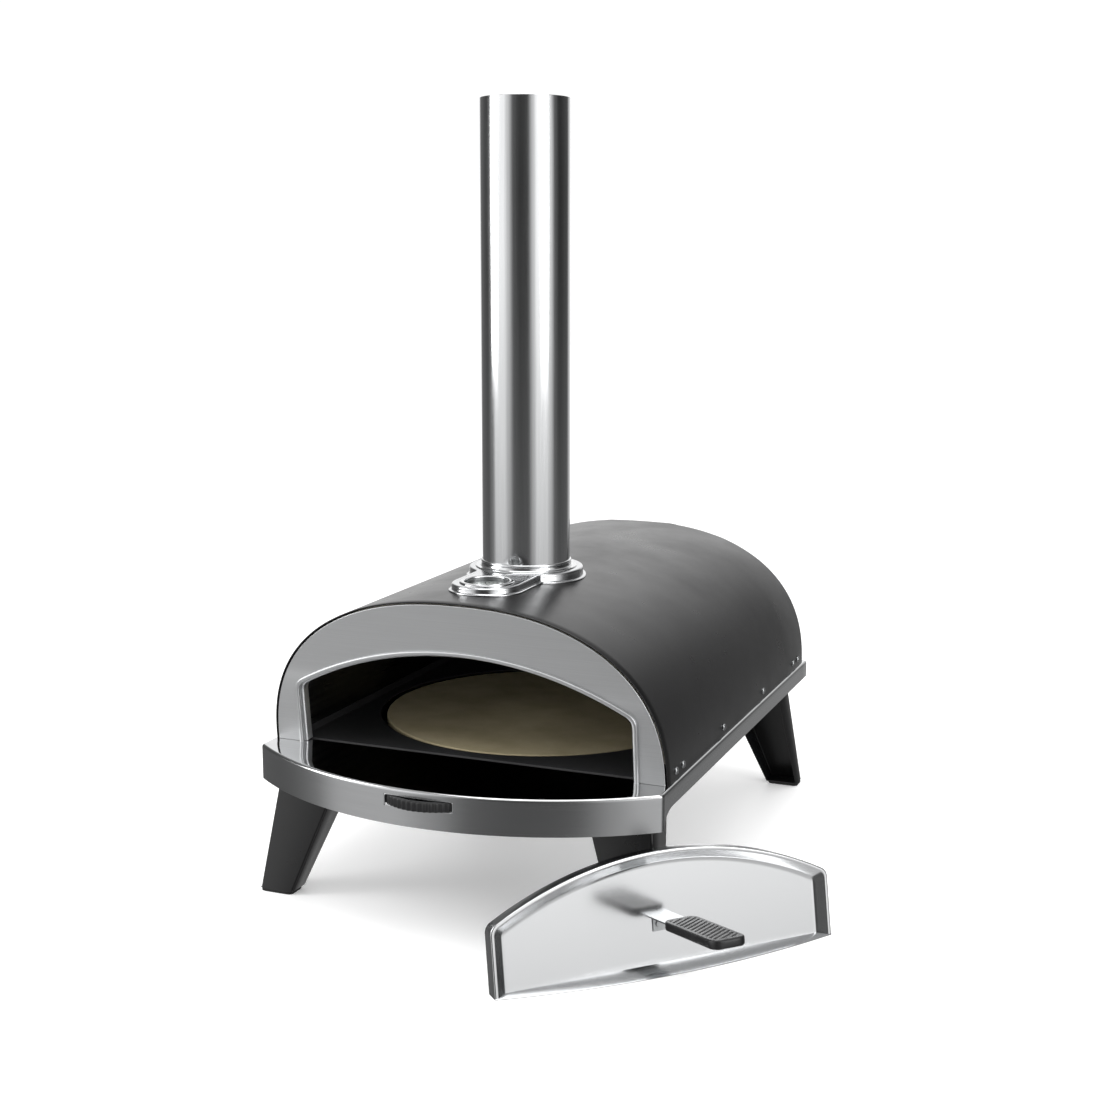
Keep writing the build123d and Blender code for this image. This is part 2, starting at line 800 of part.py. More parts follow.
# Rear: inner back plate, rear panel, chute between their fuel openings, screws
hatch_sill = drawer_sill + drawer_opening_height + drawer_overlap + plate_gap + hatch_overlap
hatch_opening_height = liner_height - hatch_crown_gap - hatch_sill
rear_skin = shell_length + gap
chute_outside_width = hatch_half_width + chute_wall
hatch_middle = tray_top + hatch_sill + hatch_opening_height / 2
drawer_middle = tray_top + drawer_sill + drawer_opening_height / 2

with BuildPart() as back_plate:
    with BuildSketch(across(liner_rear_y + gap + sheet)):
        vault(liner_half_width + back_plate_margin, liner_height + back_plate_margin)
        with Locations((0, drawer_middle)):
            Rectangle(2 * drawer_half_width, drawer_opening_height, mode=Mode.SUBTRACT)
        with Locations((0, hatch_middle)):
            chute_hole_height = hatch_opening_height + 2 * chute_wall + 2 * gap
            Rectangle(2 * (chute_outside_width + gap), chute_hole_height, mode=Mode.SUBTRACT)
    extrude(amount=sheet)
save(back_plate.part, "back_plate")

with BuildPart() as rear_panel:
    with BuildSketch(across(rear_skin + sheet)):
        vault(shell_half_width - 1.0, shell_height - 1.0)
        with Locations((0, drawer_middle)):
            Rectangle(2 * drawer_half_width, drawer_opening_height, mode=Mode.SUBTRACT)
        with Locations((0, hatch_middle)):
            Rectangle(2 * hatch_half_width, hatch_opening_height, mode=Mode.SUBTRACT)
        with Locations(*rear_screw_places):
            Circle(bolt_radius, mode=Mode.SUBTRACT)
    extrude(amount=sheet)
save(rear_panel.part, "rear_panel")

with BuildPart() as rear_screws:
    rod(across(rear_skin + sheet), rear_screw_places, bolt_radius, sheet + gap + sheet)
    head_out = rear_skin + sheet + rear_head_height
    rod(across(head_out), rear_screw_places, bolt_head_radius, rear_head_height)
save(rear_screws.part, "rear_screws")

with BuildPart() as fuel_chute:
    with BuildSketch(across(rear_skin - gap)):
        with Locations((0, hatch_middle)):
            Rectangle(2 * chute_outside_width, hatch_opening_height + 2 * chute_wall)
            Rectangle(2 * hatch_half_width, hatch_opening_height, mode=Mode.SUBTRACT)
    extrude(amount=rear_skin - gap - liner_rear_y + chute_reach)
save(fuel_chute.part, "fuel_chute")

# Fuel hatch: plate with a rolled knuckle, turned up about its top edge; fixed pin in two brackets
hatch_skin = rear_skin + sheet + gap
pin_y = hatch_skin + hinge_radius + knuckle_wall + 2 * gap
pin_height = tray_top + hatch_sill + hatch_opening_height + 2 * hatch_top_overlap
knuckle_radius = hinge_radius + running_gap + knuckle_wall
hatch_edge = hatch_half_width + hatch_overlap
hatch_low = tray_top + hatch_sill - hatch_overlap
bracket_in = hatch_half_width - knuckle_inset

with BuildPart() as fuel_hatch:
    with BuildSketch(across(hatch_skin + sheet)):
        with BuildLine() as hatch_outline:
            Polyline(
                (-hatch_edge, hatch_low),
                (hatch_edge, hatch_low),
                (hatch_edge, pin_height - knuckle_step),
                (bracket_in, pin_height - knuckle_step),
                (bracket_in, pin_height),
                (-bracket_in, pin_height),
                (-bracket_in, pin_height - knuckle_step),
                (-hatch_edge, pin_height - knuckle_step),
                close=True,
            )
        make_face()
    extrude(amount=sheet)
    rod(along(-bracket_in), [(pin_y, pin_height)], knuckle_radius, 2 * bracket_in)
    rod(along(-bracket_in), [(pin_y, pin_height)], hinge_radius + running_gap, 2 * bracket_in, mode=Mode.SUBTRACT)
save(fuel_hatch.part, "fuel_hatch")

with BuildPart() as hatch_pin:
    pin_half_length = bracket_in + hatch_pin_end
    rod(along(-pin_half_length), [(pin_y, pin_height)], hinge_radius, 2 * pin_half_length)
save(hatch_pin.part, "hatch_pin")

with BuildPart() as hatch_brackets:
    with BuildSketch(along(bracket_in + 1.0)) as ear:
        with BuildLine() as ear_outline:
            Polyline(
                (rear_skin + sheet, pin_height - ear_radius),
                (pin_y, pin_height - ear_radius),
                (pin_y, pin_height + ear_radius),
                (rear_skin + sheet, pin_height + 2 * ear_radius),
                close=True,
            )
        make_face()
        disc(pin_y, pin_height, ear_radius)
        disc(pin_y, pin_height, hinge_radius, mode=Mode.SUBTRACT)
    extrude(amount=ear_width)
    mirror(about=along(0))
save(hatch_brackets.part, "hatch_brackets")

knob_height = hatch_low + knob_rise
knob_plane = Plane(
    origin=(oven_x, mouth_y + hatch_skin + sheet, knob_height), x_dir=(1, 0, 0), z_dir=(0, 1, 0)
)

with BuildPart() as hatch_knob:
    with BuildSketch(knob_plane):
        Circle(knob_stem)
    extrude(amount=knob_stem_length)
    with BuildSketch(knob_plane.offset(knob_stem_length)):
        Circle(knob_radius)
    extrude(amount=knob_radius)
    fillet(hatch_knob.faces().sort_by(Axis.Y)[-1].edges(), radius=knob_stem)
save(hatch_knob.part, "hatch_knob")

# Burner drawer: basket with holes, grate bars, front plate outside the rear panel, handle
basket_half_width = drawer_half_width - basket_clearance
basket_low = tray_top + drawer_sill + thin_sheet + basket_lift
basket_top = basket_low + basket_height
front_skin = rear_skin + sheet + gap
basket_length = burner_room - basket_room
basket_front_y = front_skin - basket_length
guard_y = basket_front_y - guard_room

with BuildPart() as fuel_basket:
    with BuildSketch(across(front_skin)):
        with Locations((0, (basket_low + basket_top) / 2)):
            Rectangle(2 * basket_half_width, basket_height)
    extrude(amount=basket_length)
    offset(amount=-thin_sheet, openings=fuel_basket.faces().sort_by(Axis.Z)[-1])
    hole_rows = []
    for column in range(-4, 5):
        for row in (-1, 1):
            hole_z = basket_low + basket_height / 2 + row * basket_hole_step / 2
            hole_rows.append((column * basket_hole_step, hole_z))
    rod(across(basket_front_y + 2 * sheet), hole_rows, basket_hole_radius, 4 * sheet, mode=Mode.SUBTRACT)
save(fuel_basket.part, "fuel_basket")

with BuildPart() as fuel_grate:
    bar_length = basket_length - 2 * thin_sheet - 1.0
    bar_reach = basket_half_width - grate_side_room
    bar_step = 2 * bar_reach / (grate_bars - 1)
    bar_places = []
    for bar in range(grate_bars):
        bar_places.append((bar * bar_step - bar_reach, basket_low + grate_height))
    rod(across(front_skin - thin_sheet - 0.5), bar_places, grate_bar_radius, bar_length)
    tie_z = basket_low + grate_height - grate_bar_radius
    with BuildSketch(along(-2.0 - bar_reach)):
        with Locations((basket_front_y + grate_tie_inset, tie_z), (front_skin - grate_tie_inset, tie_z)):
            Rectangle(grate_tie_width, 1.5 * grate_bar_radius)
    extrude(amount=2 * bar_reach + 4.0)
save(fuel_grate.part, "fuel_grate")

drawer_edge = drawer_half_width + drawer_overlap
drawer_plate_low = tray_top + 1.0
drawer_plate_top = tray_top + drawer_sill + drawer_opening_height + drawer_overlap

with BuildPart() as drawer_front:
    with BuildSketch(across(front_skin + sheet)):
        with Locations((0, (drawer_plate_low + drawer_plate_top) / 2)):
            Rectangle(2 * drawer_edge, drawer_plate_top - drawer_plate_low)
    extrude(amount=sheet)
save(drawer_front.part, "drawer_front")

with BuildPart() as drawer_handle:
    grip_y = front_skin + sheet + handle_reach
    handle_z = drawer_middle
    for side in (-1, 1):
        leg_place = [(side * handle_half_length, handle_z)]
        rod(across(grip_y), leg_place, handle_radius, handle_reach)
    bar_end = handle_half_length + handle_radius
    rod(along(-bar_end), [(grip_y, handle_z)], handle_radius, 2 * bar_end)
save(drawer_handle.part, "drawer_handle")

runner_x = basket_half_width + runner_side_gap
runner_rear_y = liner_rear_y - runner_end_gap
shelf_top = basket_low - gap

with BuildPart() as drawer_runners:
    with BuildSketch(across(runner_rear_y)):
        for side in (-1, 1):
            with BuildLine() as runner_outline:
                Polyline(
                    (side * runner_x, floor_top),
                    (side * runner_x, shelf_top - sheet),
                    (side * (runner_x - runner_shelf), shelf_top - sheet),
                    (side * (runner_x - runner_shelf), shelf_top),
                    (side * runner_x, shelf_top),
                    (side * runner_x, shelf_top + runner_height),
                    (side * (runner_x + sheet), shelf_top + runner_height),
                    (side * (runner_x + sheet), floor_top + sheet),
                    (side * (runner_x + runner_foot), floor_top + sheet),
                    (side * (runner_x + runner_foot), floor_top),
                    close=True,
                )
            make_face(runner_outline.edges())
    extrude(amount=runner_rear_y - guard_y - guard_lip - runner_end_gap)
save(drawer_runners.part, "drawer_runners")

with BuildPart() as flame_guard:
    with BuildSketch(along(-guard_half_width)):
        with BuildLine() as guard_outline:
            Polyline(
                (guard_y + guard_lip, floor_top),
                (guard_y, floor_top),
                (guard_y, floor_top + guard_height),
                (guard_y + guard_lip, floor_top + guard_height + guard_lip_rise),
                (guard_y + guard_lip, floor_top + guard_height + guard_lip_rise - sheet),
                (guard_y + sheet, floor_top + guard_height - sheet),
                (guard_y + sheet, floor_top + sheet),
                (guard_y + guard_lip, floor_top + sheet),
                close=True,
            )
        make_face()
    extrude(amount=2 * guard_half_width)
save(flame_guard.part, "flame_guard")

# Flue collar: a drawn plate on the crown with a nose for the thermometer
crown = tray_top + shell_height


def collar_plan(grow, mode=Mode.ADD):
    """Draw the collar's outline: a round body and a smaller nose joined by straight flanks."""
    flank = collar_nose_radius + grow
    with BuildSketch(mode=Mode.PRIVATE) as plan:
        disc(0, flue_y, collar_radius + grow)
        disc(0, dial_y, collar_nose_radius + grow)
        with Locations((0, (flue_y + dial_y) / 2)):
            Rectangle(2 * flank, flue_y - dial_y)
    add(plan.sketch, mode=mode)


def vault_core(grow, y_rear, y_front, mode):
    """The vault's solid body, drawn out, as a tool on the part being built."""
    with BuildSketch(across(y_rear)) as section:
        vault(shell_half_width + grow, shell_height + grow)
    extrude(section.sketch, amount=y_rear - y_front, mode=mode)


collar_rear_y = flue_y + collar_radius + 20.0
socket_inside = pipe_radius + gap
socket_outside = socket_inside + thin_sheet

with BuildPart() as flue_collar:
    with BuildSketch(level(crown - 30.0)):
        collar_plan(collar_lip)
    extrude(amount=60.0)
    vault_core(thin_sheet + gap, collar_rear_y, -60.0, Mode.INTERSECT)
    with BuildSketch(level(crown - 30.0)):
        collar_plan(0)
    extrude(amount=collar_z - crown + 30.0)
    top_rim = flue_collar.faces().sort_by(Axis.Z)[-1].outer_wire().edges()
    fillet(top_rim, radius=2.2)
    with BuildSketch(level(crown - 30.0)):
        collar_plan(-thin_sheet)
    extrude(amount=collar_z - crown + 30.0 - thin_sheet, mode=Mode.SUBTRACT)
    vault_core(gap, collar_rear_y, -60.0, Mode.SUBTRACT)
    rod(level(crown), [(0, flue_y)], socket_outside + gap, 40, mode=Mode.SUBTRACT)
    rod(level(crown), [(0, dial_y)], case_radius + gap, 40, mode=Mode.SUBTRACT)
save(flue_collar.part, "flue_collar")

with BuildPart() as flue_socket:
    with BuildSketch(level(collar_z - socket_depth)):
        disc(0, flue_y, socket_outside)
        disc(0, flue_y, socket_inside, mode=Mode.SUBTRACT)
    extrude(amount=socket_depth + socket_rise)
    with BuildSketch(level(collar_z)):
        disc(0, flue_y, socket_outside + socket_flange)
        disc(0, flue_y, socket_inside, mode=Mode.SUBTRACT)
    extrude(amount=thin_sheet)
save(flue_socket.part, "flue_socket")

# Chimney: a straight pipe whose foot stands in the socket, held up by a rolled bead
bead_height = collar_z + socket_rise + gap + bead_radius

with BuildPart() as chimney_pipe:
    with BuildSketch(level(collar_z - socket_depth + 1.0)):
        disc(0, flue_y, pipe_radius)
        disc(0, flue_y, pipe_radius - pipe_wall, mode=Mode.SUBTRACT)
    extrude(amount=pipe_top - collar_z + socket_depth - 1.0)
    with BuildSketch(across(flue_y)):
        with Locations((pipe_radius, bead_height)):
            Circle(bead_radius)
        with Locations((pipe_radius - bead_radius - pipe_wall / 2, bead_height)):
            Rectangle(2 * bead_radius, 2 * bead_radius, mode=Mode.SUBTRACT)
    revolve(axis=Axis((oven_x, mouth_y + flue_y, 0), (0, 0, 1)))
save(chimney_pipe.part, "chimney_pipe")

# Thermometer: cup, bezel, dial, glass, stem down into the vault, and the pointer that turns
case_low = collar_z - case_depth
dial_z = collar_z - dial_drop
glass_z = collar_z - glass_drop

with BuildPart() as thermometer_case:
    rod(level(case_low), [(0, dial_y)], case_radius, collar_z - case_low)
    rod(level(case_low + case_wall), [(0, dial_y)], dial_radius, case_depth, mode=Mode.SUBTRACT)
    rod(level(case_low - 1), [(0, dial_y)], stem_radius + 0.1, 4, mode=Mode.SUBTRACT)
save(thermometer_case.part, "thermometer_case")

with BuildPart() as thermometer_bezel:
    with BuildSketch(level(collar_z)):
        disc(0, dial_y, dial_radius + bezel_width)
        disc(0, dial_y, dial_radius, mode=Mode.SUBTRACT)
    extrude(amount=bezel_height)
    bezel_rims = thermometer_bezel.edges().group_by(Axis.Z)[-1]
    fillet(bezel_rims, radius=bezel_height * 0.8)
save(thermometer_bezel.part, "thermometer_bezel")

with BuildPart() as thermometer_dial:
    with BuildSketch(level(dial_z - dial_thickness)):
        disc(0, dial_y, dial_radius - dial_side_gap)
        disc(0, dial_y, arbor_hole, mode=Mode.SUBTRACT)
    extrude(amount=dial_thickness)
save(thermometer_dial.part, "thermometer_dial")

with BuildPart() as thermometer_glass:
    rod(level(glass_z), [(0, dial_y)], dial_radius - 0.1, glass_thickness)
save(thermometer_glass.part, "thermometer_glass")

with BuildPart() as thermometer_stem:
    rod(level(collar_z - stem_reach), [(0, dial_y)], stem_radius, stem_reach - dial_drop - dial_thickness - gap)
save(thermometer_stem.part, "thermometer_stem")

pointer_angle = math.radians(pointer_rest)
pointer_plane = Plane(
    origin=(oven_x, mouth_y + dial_y, dial_z + pointer_lift),
    x_dir=(math.cos(pointer_angle), math.sin(pointer_angle), 0),
    z_dir=(0, 0, 1),
)

with BuildPart() as thermometer_pointer:
    with BuildSketch(pointer_plane):
        with BuildLine() as needle:
            Polyline(
                (-pointer_width / 2, -pointer_tail),
                (pointer_width / 2, -pointer_tail),
                (pointer_width / 2, 0),
                (0, pointer_length),
                (-pointer_width / 2, 0),
                close=True,
            )
        make_face()
        Circle(pointer_hub)
    extrude(amount=pointer_thickness)
    arbor_low = dial_z - dial_thickness + gap / 3
    rod(level(arbor_low), [(0, dial_y)], arbor_radius, dial_thickness + pointer_thickness)
save(thermometer_pointer.part, "thermometer_pointer")

# Legs on pins under the tray's corners; a leg is one tapered pan, mirrored for each corner
leg_front_y = tray_front_y - leg_front_reach
leg_rear_y = tray_rear_y - leg_rear_margin
leg_outer_x = tray_half_width - leg_side_margin
leg_pivot_height = tray_top - leg_pivot_drop
leg_top = leg_pivot_height + leg_top_rise
middle_y = (leg_front_y + leg_rear_y) / 2


def leg_section(height, side, end, inset=0.0, open_back=0.0):
    """Draw a leg's cross-section at a height; side is -1 or 1 across, end is -1 front or 1 rear."""
    outer = leg_outer_x - leg_outer_slope * height - inset
    inner = leg_outer_x - leg_foot_width - leg_inner_slope * height + inset
    web = leg_front_y + leg_web_slope * height + inset
    free = leg_front_y + leg_foot_depth + leg_free_slope * height + open_back
    if end > 0:
        web = 2 * middle_y - web
        free = 2 * middle_y - free
    with BuildLine() as outline:
        Polyline(
            (side * inner, web),
            (side * outer, web),
            (side * outer, free),
            (side * inner, free),
            close=True,
        )
    make_face(outline.edges())


def pivot_y(end):
    """Where a leg's pin lies, in from its foot's face."""
    front_pin = leg_front_y + leg_pivot_reach
    return front_pin if end < 0 else 2 * middle_y - front_pin


corners = (("front_left", -1, -1), ("front_right", 1, -1), ("rear_left", -1, 1), ("rear_right", 1, 1))
pin_inner = leg_outer_x - leg_foot_width - leg_inner_slope * leg_pivot_height
pin_outer = leg_outer_x - leg_outer_slope * leg_pivot_height

for corner, side, end in corners:
    with BuildPart() as leg:
        for height in (foot_height, leg_top):
            with BuildSketch(level(height)):
                leg_section(height, side, end)
        loft()
        for height in (foot_height + sheet, leg_top + 1.0):
            with BuildSketch(level(height)):
                leg_section(height, side, end, inset=sheet, open_back=5.0)
        loft(mode=Mode.SUBTRACT)
        hole_start = side * pin_inner - 6.0 if side > 0 else side * pin_outer - 6.0
        hole_length = pin_outer - pin_inner + 12.0
        place = [(pivot_y(end), leg_pivot_height)]
        rod(along(hole_start), place, leg_pin_radius + running_gap, hole_length, mode=Mode.SUBTRACT)
    save(leg.part, f"leg_{corner}")

    with BuildPart() as foot:
        with BuildSketch(level(0)):
            leg_section(0, side, end)
        extrude(amount=foot_height)
    save(foot.part, f"foot_{corner}")

ear_inner = pin_inner + sheet + leg_ear_gap
ear_outer = pin_outer - sheet - leg_ear_gap

with BuildPart() as leg_brackets:
    for corner, side, end in corners:
        y = pivot_y(end)
        with BuildSketch(level(tray_under - sheet)):
            with Locations((side * (ear_inner + ear_outer) / 2, y)):
                Rectangle(ear_outer - ear_inner, 2 * leg_ear_radius)
        extrude(amount=sheet)
        for face_x in (ear_inner, ear_outer - 2 * sheet):
            low_x = side * face_x if side > 0 else side * face_x - 2 * sheet
            with BuildSketch(along(low_x)):
                with BuildLine() as bracket_ear:
                    Polyline(
                        (y - leg_ear_radius, leg_pivot_height),
                        (y - leg_ear_radius, tray_under - sheet),
                        (y + leg_ear_radius, tray_under - sheet),
                        (y + leg_ear_radius, leg_pivot_height),
                        close=True,
                    )
                make_face()
                disc(y, leg_pivot_height, leg_ear_radius)
                disc(y, leg_pivot_height, leg_pin_radius, mode=Mode.SUBTRACT)
            extrude(amount=2 * sheet)
save(leg_brackets.part, "leg_brackets")

with BuildPart() as leg_pins:
    for corner, side, end in corners:
        start = side * pin_inner - 2.0 if side > 0 else side * pin_outer - 2.0
        place = [(pivot_y(end), leg_pivot_height)]
        rod(along(start), place, leg_pin_radius, pin_outer - pin_inner + 4.0)
save(leg_pins.part, "leg_pins")

# Door: a dished pan with a rolled rim and a bowed ledge, stood beside the oven; z runs out of its front
turn = math.radians(door_turn)
tilt = math.radians(door_lean)
door_out = (math.sin(turn) * math.cos(tilt), -math.cos(turn) * math.cos(tilt), math.sin(tilt))
door_back = Plane(
    origin=(oven_x + door_x, mouth_y + door_y, 0),
    x_dir=(math.cos(turn), math.sin(turn), 0),
    z_dir=door_out,
)
door_ground = Plane(origin=door_back.origin, x_dir=door_back.x_dir, z_dir=(0, 0, 1))
door_up = (-math.sin(turn) * math.sin(tilt), math.cos(turn) * math.sin(tilt), math.cos(tilt))
door_side = Plane(
    origin=door_back.origin, x_dir=door_out, z_dir=(-math.cos(turn), -math.sin(turn), 0)
)
door_inset = lip_width + door_clearance
door_panel_z = door_depth - door_recess
rivet_places = [(-6.0, handle_height - bracket_foot / 2), (6.0, handle_height - bracket_foot / 2)]


def door_arch(inset, mode=Mode.ADD):
    """Draw the door's outline, drawn in by inset from its edge, well past the ground."""
    arch(door_inset + inset, foot=-20.0, mode=mode)


with BuildPart() as door_pan:
    with BuildSketch(door_back):
        door_arch(0)
    extrude(amount=door_depth)
    with BuildSketch(door_back):
        door_arch(sheet)
    extrude(amount=door_panel_z - sheet, mode=Mode.SUBTRACT)
    with BuildSketch(door_back.offset(door_depth)):
        door_arch(door_rim)
    with BuildSketch(door_back.offset(door_panel_z)):
        door_arch(door_rim + door_slope)
    loft(mode=Mode.SUBTRACT)
    split(bisect_by=door_ground, keep=Keep.TOP)
    ledge_half_width = mouth_half_width - door_inset
    ledge_front = door_depth / math.cos(tilt)
    with BuildSketch(door_ground):
        with BuildLine() as ledge_outline:
            ThreePointArc(
                (-ledge_half_width, -ledge_front),
                (0, -ledge_front - door_ledge_bow),
                (ledge_half_width, -ledge_front),
            )
            Polyline(
                (ledge_half_width, -ledge_front),
                (ledge_half_width, 0),
                (-ledge_half_width, 0),
                (-ledge_half_width, -ledge_front),
            )
        make_face()
    extrude(amount=sheet)
    rod(door_back, rivet_places, door_rivet_radius, door_depth, mode=Mode.SUBTRACT)
save(door_pan.part, "door_pan")

with BuildPart() as door_bracket:
    with BuildSketch(door_side):
        with BuildLine() as bracket_profile:
            Polyline(
                (door_panel_z, handle_height - bracket_foot),
                (door_panel_z + sheet, handle_height - bracket_foot),
                (door_panel_z + sheet, handle_height - sheet),
                (grip_start + bracket_tongue, handle_height - sheet),
                (grip_start + bracket_tongue, handle_height),
                (door_panel_z, handle_height),
                close=True,
            )
        make_face()
    extrude(amount=bracket_width / 2, both=True)
    rod(door_back, rivet_places, door_rivet_radius, door_depth, mode=Mode.SUBTRACT)
save(door_bracket.part, "door_bracket")

with BuildPart() as door_grip:
    grip_middle = handle_height - sheet / 2
    with BuildSketch(door_side):
        with Locations((grip_start + grip_length / 2, grip_middle)):
            Rectangle(grip_length, grip_thickness)
    extrude(amount=grip_width / 2, both=True)
    upright = door_grip.edges().filter_by(Axis(door_back.origin, door_up))
    fillet(upright, radius=10.0)
    flat_faces = door_grip.faces().filter_by(Axis(door_back.origin, door_up))
    fillet([edge for face in flat_faces for edge in face.edges()], radius=2.0)
    with BuildSketch(door_side):
        with Locations((grip_start + bracket_tongue / 2, grip_middle)):
            Rectangle(bracket_tongue, sheet)
    extrude(amount=bracket_width / 2, both=True, mode=Mode.SUBTRACT)
save(door_grip.part, "door_grip")

with BuildPart() as door_rivets:
    rod(door_back.offset(door_panel_z - sheet), rivet_places, door_rivet_radius, 2 * sheet)
    rod(door_back.offset(door_panel_z + sheet), rivet_places, 1.6 * door_rivet_radius, sheet)
save(door_rivets.part, "door_rivets")
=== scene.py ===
import json
import math

import bmesh
import bpy
import numpy as np
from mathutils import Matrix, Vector


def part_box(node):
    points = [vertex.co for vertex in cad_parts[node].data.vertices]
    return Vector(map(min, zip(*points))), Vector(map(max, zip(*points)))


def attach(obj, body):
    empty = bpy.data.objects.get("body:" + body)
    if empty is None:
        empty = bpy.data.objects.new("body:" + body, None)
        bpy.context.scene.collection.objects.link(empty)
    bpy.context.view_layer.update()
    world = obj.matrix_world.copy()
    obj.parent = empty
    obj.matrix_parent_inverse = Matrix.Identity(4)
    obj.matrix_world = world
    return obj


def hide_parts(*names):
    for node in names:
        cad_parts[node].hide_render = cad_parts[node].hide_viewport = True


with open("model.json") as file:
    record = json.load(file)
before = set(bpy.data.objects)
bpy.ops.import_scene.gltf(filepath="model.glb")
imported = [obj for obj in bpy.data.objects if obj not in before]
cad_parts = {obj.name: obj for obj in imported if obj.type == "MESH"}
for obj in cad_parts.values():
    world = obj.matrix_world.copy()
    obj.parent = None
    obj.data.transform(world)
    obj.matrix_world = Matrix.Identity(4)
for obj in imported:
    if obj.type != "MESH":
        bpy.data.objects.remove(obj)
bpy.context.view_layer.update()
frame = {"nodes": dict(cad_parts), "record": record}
nodes = frame["nodes"]

# Surfaces are worked out in millimetres from the oven's own centre plane, panel foot and ground,
# and moved into the row's metres when the mesh is made.
stoneLow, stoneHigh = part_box("pizza_stone")
oven = {"stoneY": 198.6, "trayTop": 149.0, "halfWidth": 206.8, "height": 158.0, "power": 2.35,
        "lean": math.radians(6.6), "rear": 511.0}
shift = np.array([(stoneLow.x + stoneHigh.x) / 2, (stoneLow.y + stoneHigh.y) / 2 - oven["stoneY"] / 1000,
                  0.0])


# grids, tubes and turned shapes that the pieces are made from

def resample(curve, count):
    # spreads points evenly by length along a polyline
    steps = np.linalg.norm(np.diff(curve, axis=0), axis=1)
    along = np.concatenate([[0], np.cumsum(steps)])
    wanted = np.linspace(0, along[-1], count)
    return np.stack([np.interp(wanted, along, curve[:, k]) for k in range(curve.shape[1])], axis=1)


def outward(curve, closed=False):
    # normal of a plane curve: its tangent turned a quarter, pointing to the left of travel
    if closed:
        tangent = np.roll(curve, -1, axis=0) - np.roll(curve, 1, axis=0)
    else:
        tangent = np.gradient(curve, axis=0)
    tangent = tangent / np.linalg.norm(tangent, axis=1, keepdims=True)
    return np.stack([-tangent[:, 1], tangent[:, 0]], axis=1)


def roundBend(centre, radius, start, end, count=5):
    # points on an arc, from one angle to another, in degrees
    turn = np.radians(np.linspace(start, end, count))
    return [(centre[0] + radius * math.cos(t), centre[1] + radius * math.sin(t)) for t in turn]


def grid(points, wrapRows=False, wrapColumns=False, caps=False, drop=None):
    # quads between neighbouring points of a rows x columns array of places
    points = np.asarray(points, float)
    rows, columns = points.shape[:2]
    index = np.arange(rows * columns).reshape(rows, columns)
    i = np.arange(rows if wrapRows else rows - 1)
    j = np.arange(columns if wrapColumns else columns - 1)
    i, j = np.meshgrid(i, j, indexing="ij")
    iNext, jNext = (i + 1) % rows, (j + 1) % columns
    quads = np.stack([index[i, j], index[i, jNext], index[iNext, jNext], index[iNext, j]], axis=-1)
    if drop is not None:
        quads = quads[~drop[: quads.shape[0], : quads.shape[1]]]
    faces = quads.reshape(-1, 4).tolist()
    if caps:
        faces.append(index[0].tolist())
        faces.append(index[-1][::-1].tolist())
    return points.reshape(-1, 3), faces


def lathe(profile, centre, axis="z", count=96, wave=None):
    # profile of (radius, height) turned round an axis through centre; wave scales each angle's radius
    profile = np.asarray(profile, float)
    turn = np.linspace(0, 2 * math.pi, count, endpoint=False)
    radius = profile[None, :, 0] * np.ones((count, 1))
    if wave is not None:
        radius = radius + wave(turn)[:, None] * (profile[None, :, 0] > profile[:, 0].max() - 3)
    first, second = radius * np.cos(turn)[:, None], radius * np.sin(turn)[:, None]
    height = np.broadcast_to(profile[None, :, 1], radius.shape)
    order = {"z": (first, second, height), "x": (height, first, second), "y": (second, height, first)}[axis]
    return np.stack(order, axis=-1) + np.asarray(centre, float)


def loop(profile, centre, axis="z", count=96, wave=None):
    # a closed ring section turned all the way round
    return grid(lathe(profile, centre, axis, count, wave), wrapRows=True, wrapColumns=True)


def solidTurned(profile, centre, axis="z", count=64):
    # a turned solid whose profile starts and ends on the axis
    return grid(lathe(profile, centre, axis, count), wrapRows=True)


def tube(path, radius, count=20, closed=False):
    # a circle carried along a path, its frame turned from the path's direction and a steady up
    path = np.asarray(path, float)
    if closed:
        tangent = np.roll(path, -1, axis=0) - np.roll(path, 1, axis=0)
    else:
        tangent = np.gradient(path, axis=0)
    tangent = tangent / np.linalg.norm(tangent, axis=1, keepdims=True)
    flat = path - path.mean(axis=0)
    up = np.linalg.svd(flat, full_matrices=True)[2][2]
    side = np.cross(tangent, up)
    side = side / np.linalg.norm(side, axis=1, keepdims=True)
    lift = np.cross(side, tangent)
    turn = np.linspace(0, 2 * math.pi, count, endpoint=False)
    ring = side[:, None] * np.cos(turn)[None, :, None] + lift[:, None] * np.sin(turn)[None, :, None]
    return grid(path[:, None] + radius * ring, wrapRows=closed, wrapColumns=True, caps=not closed)


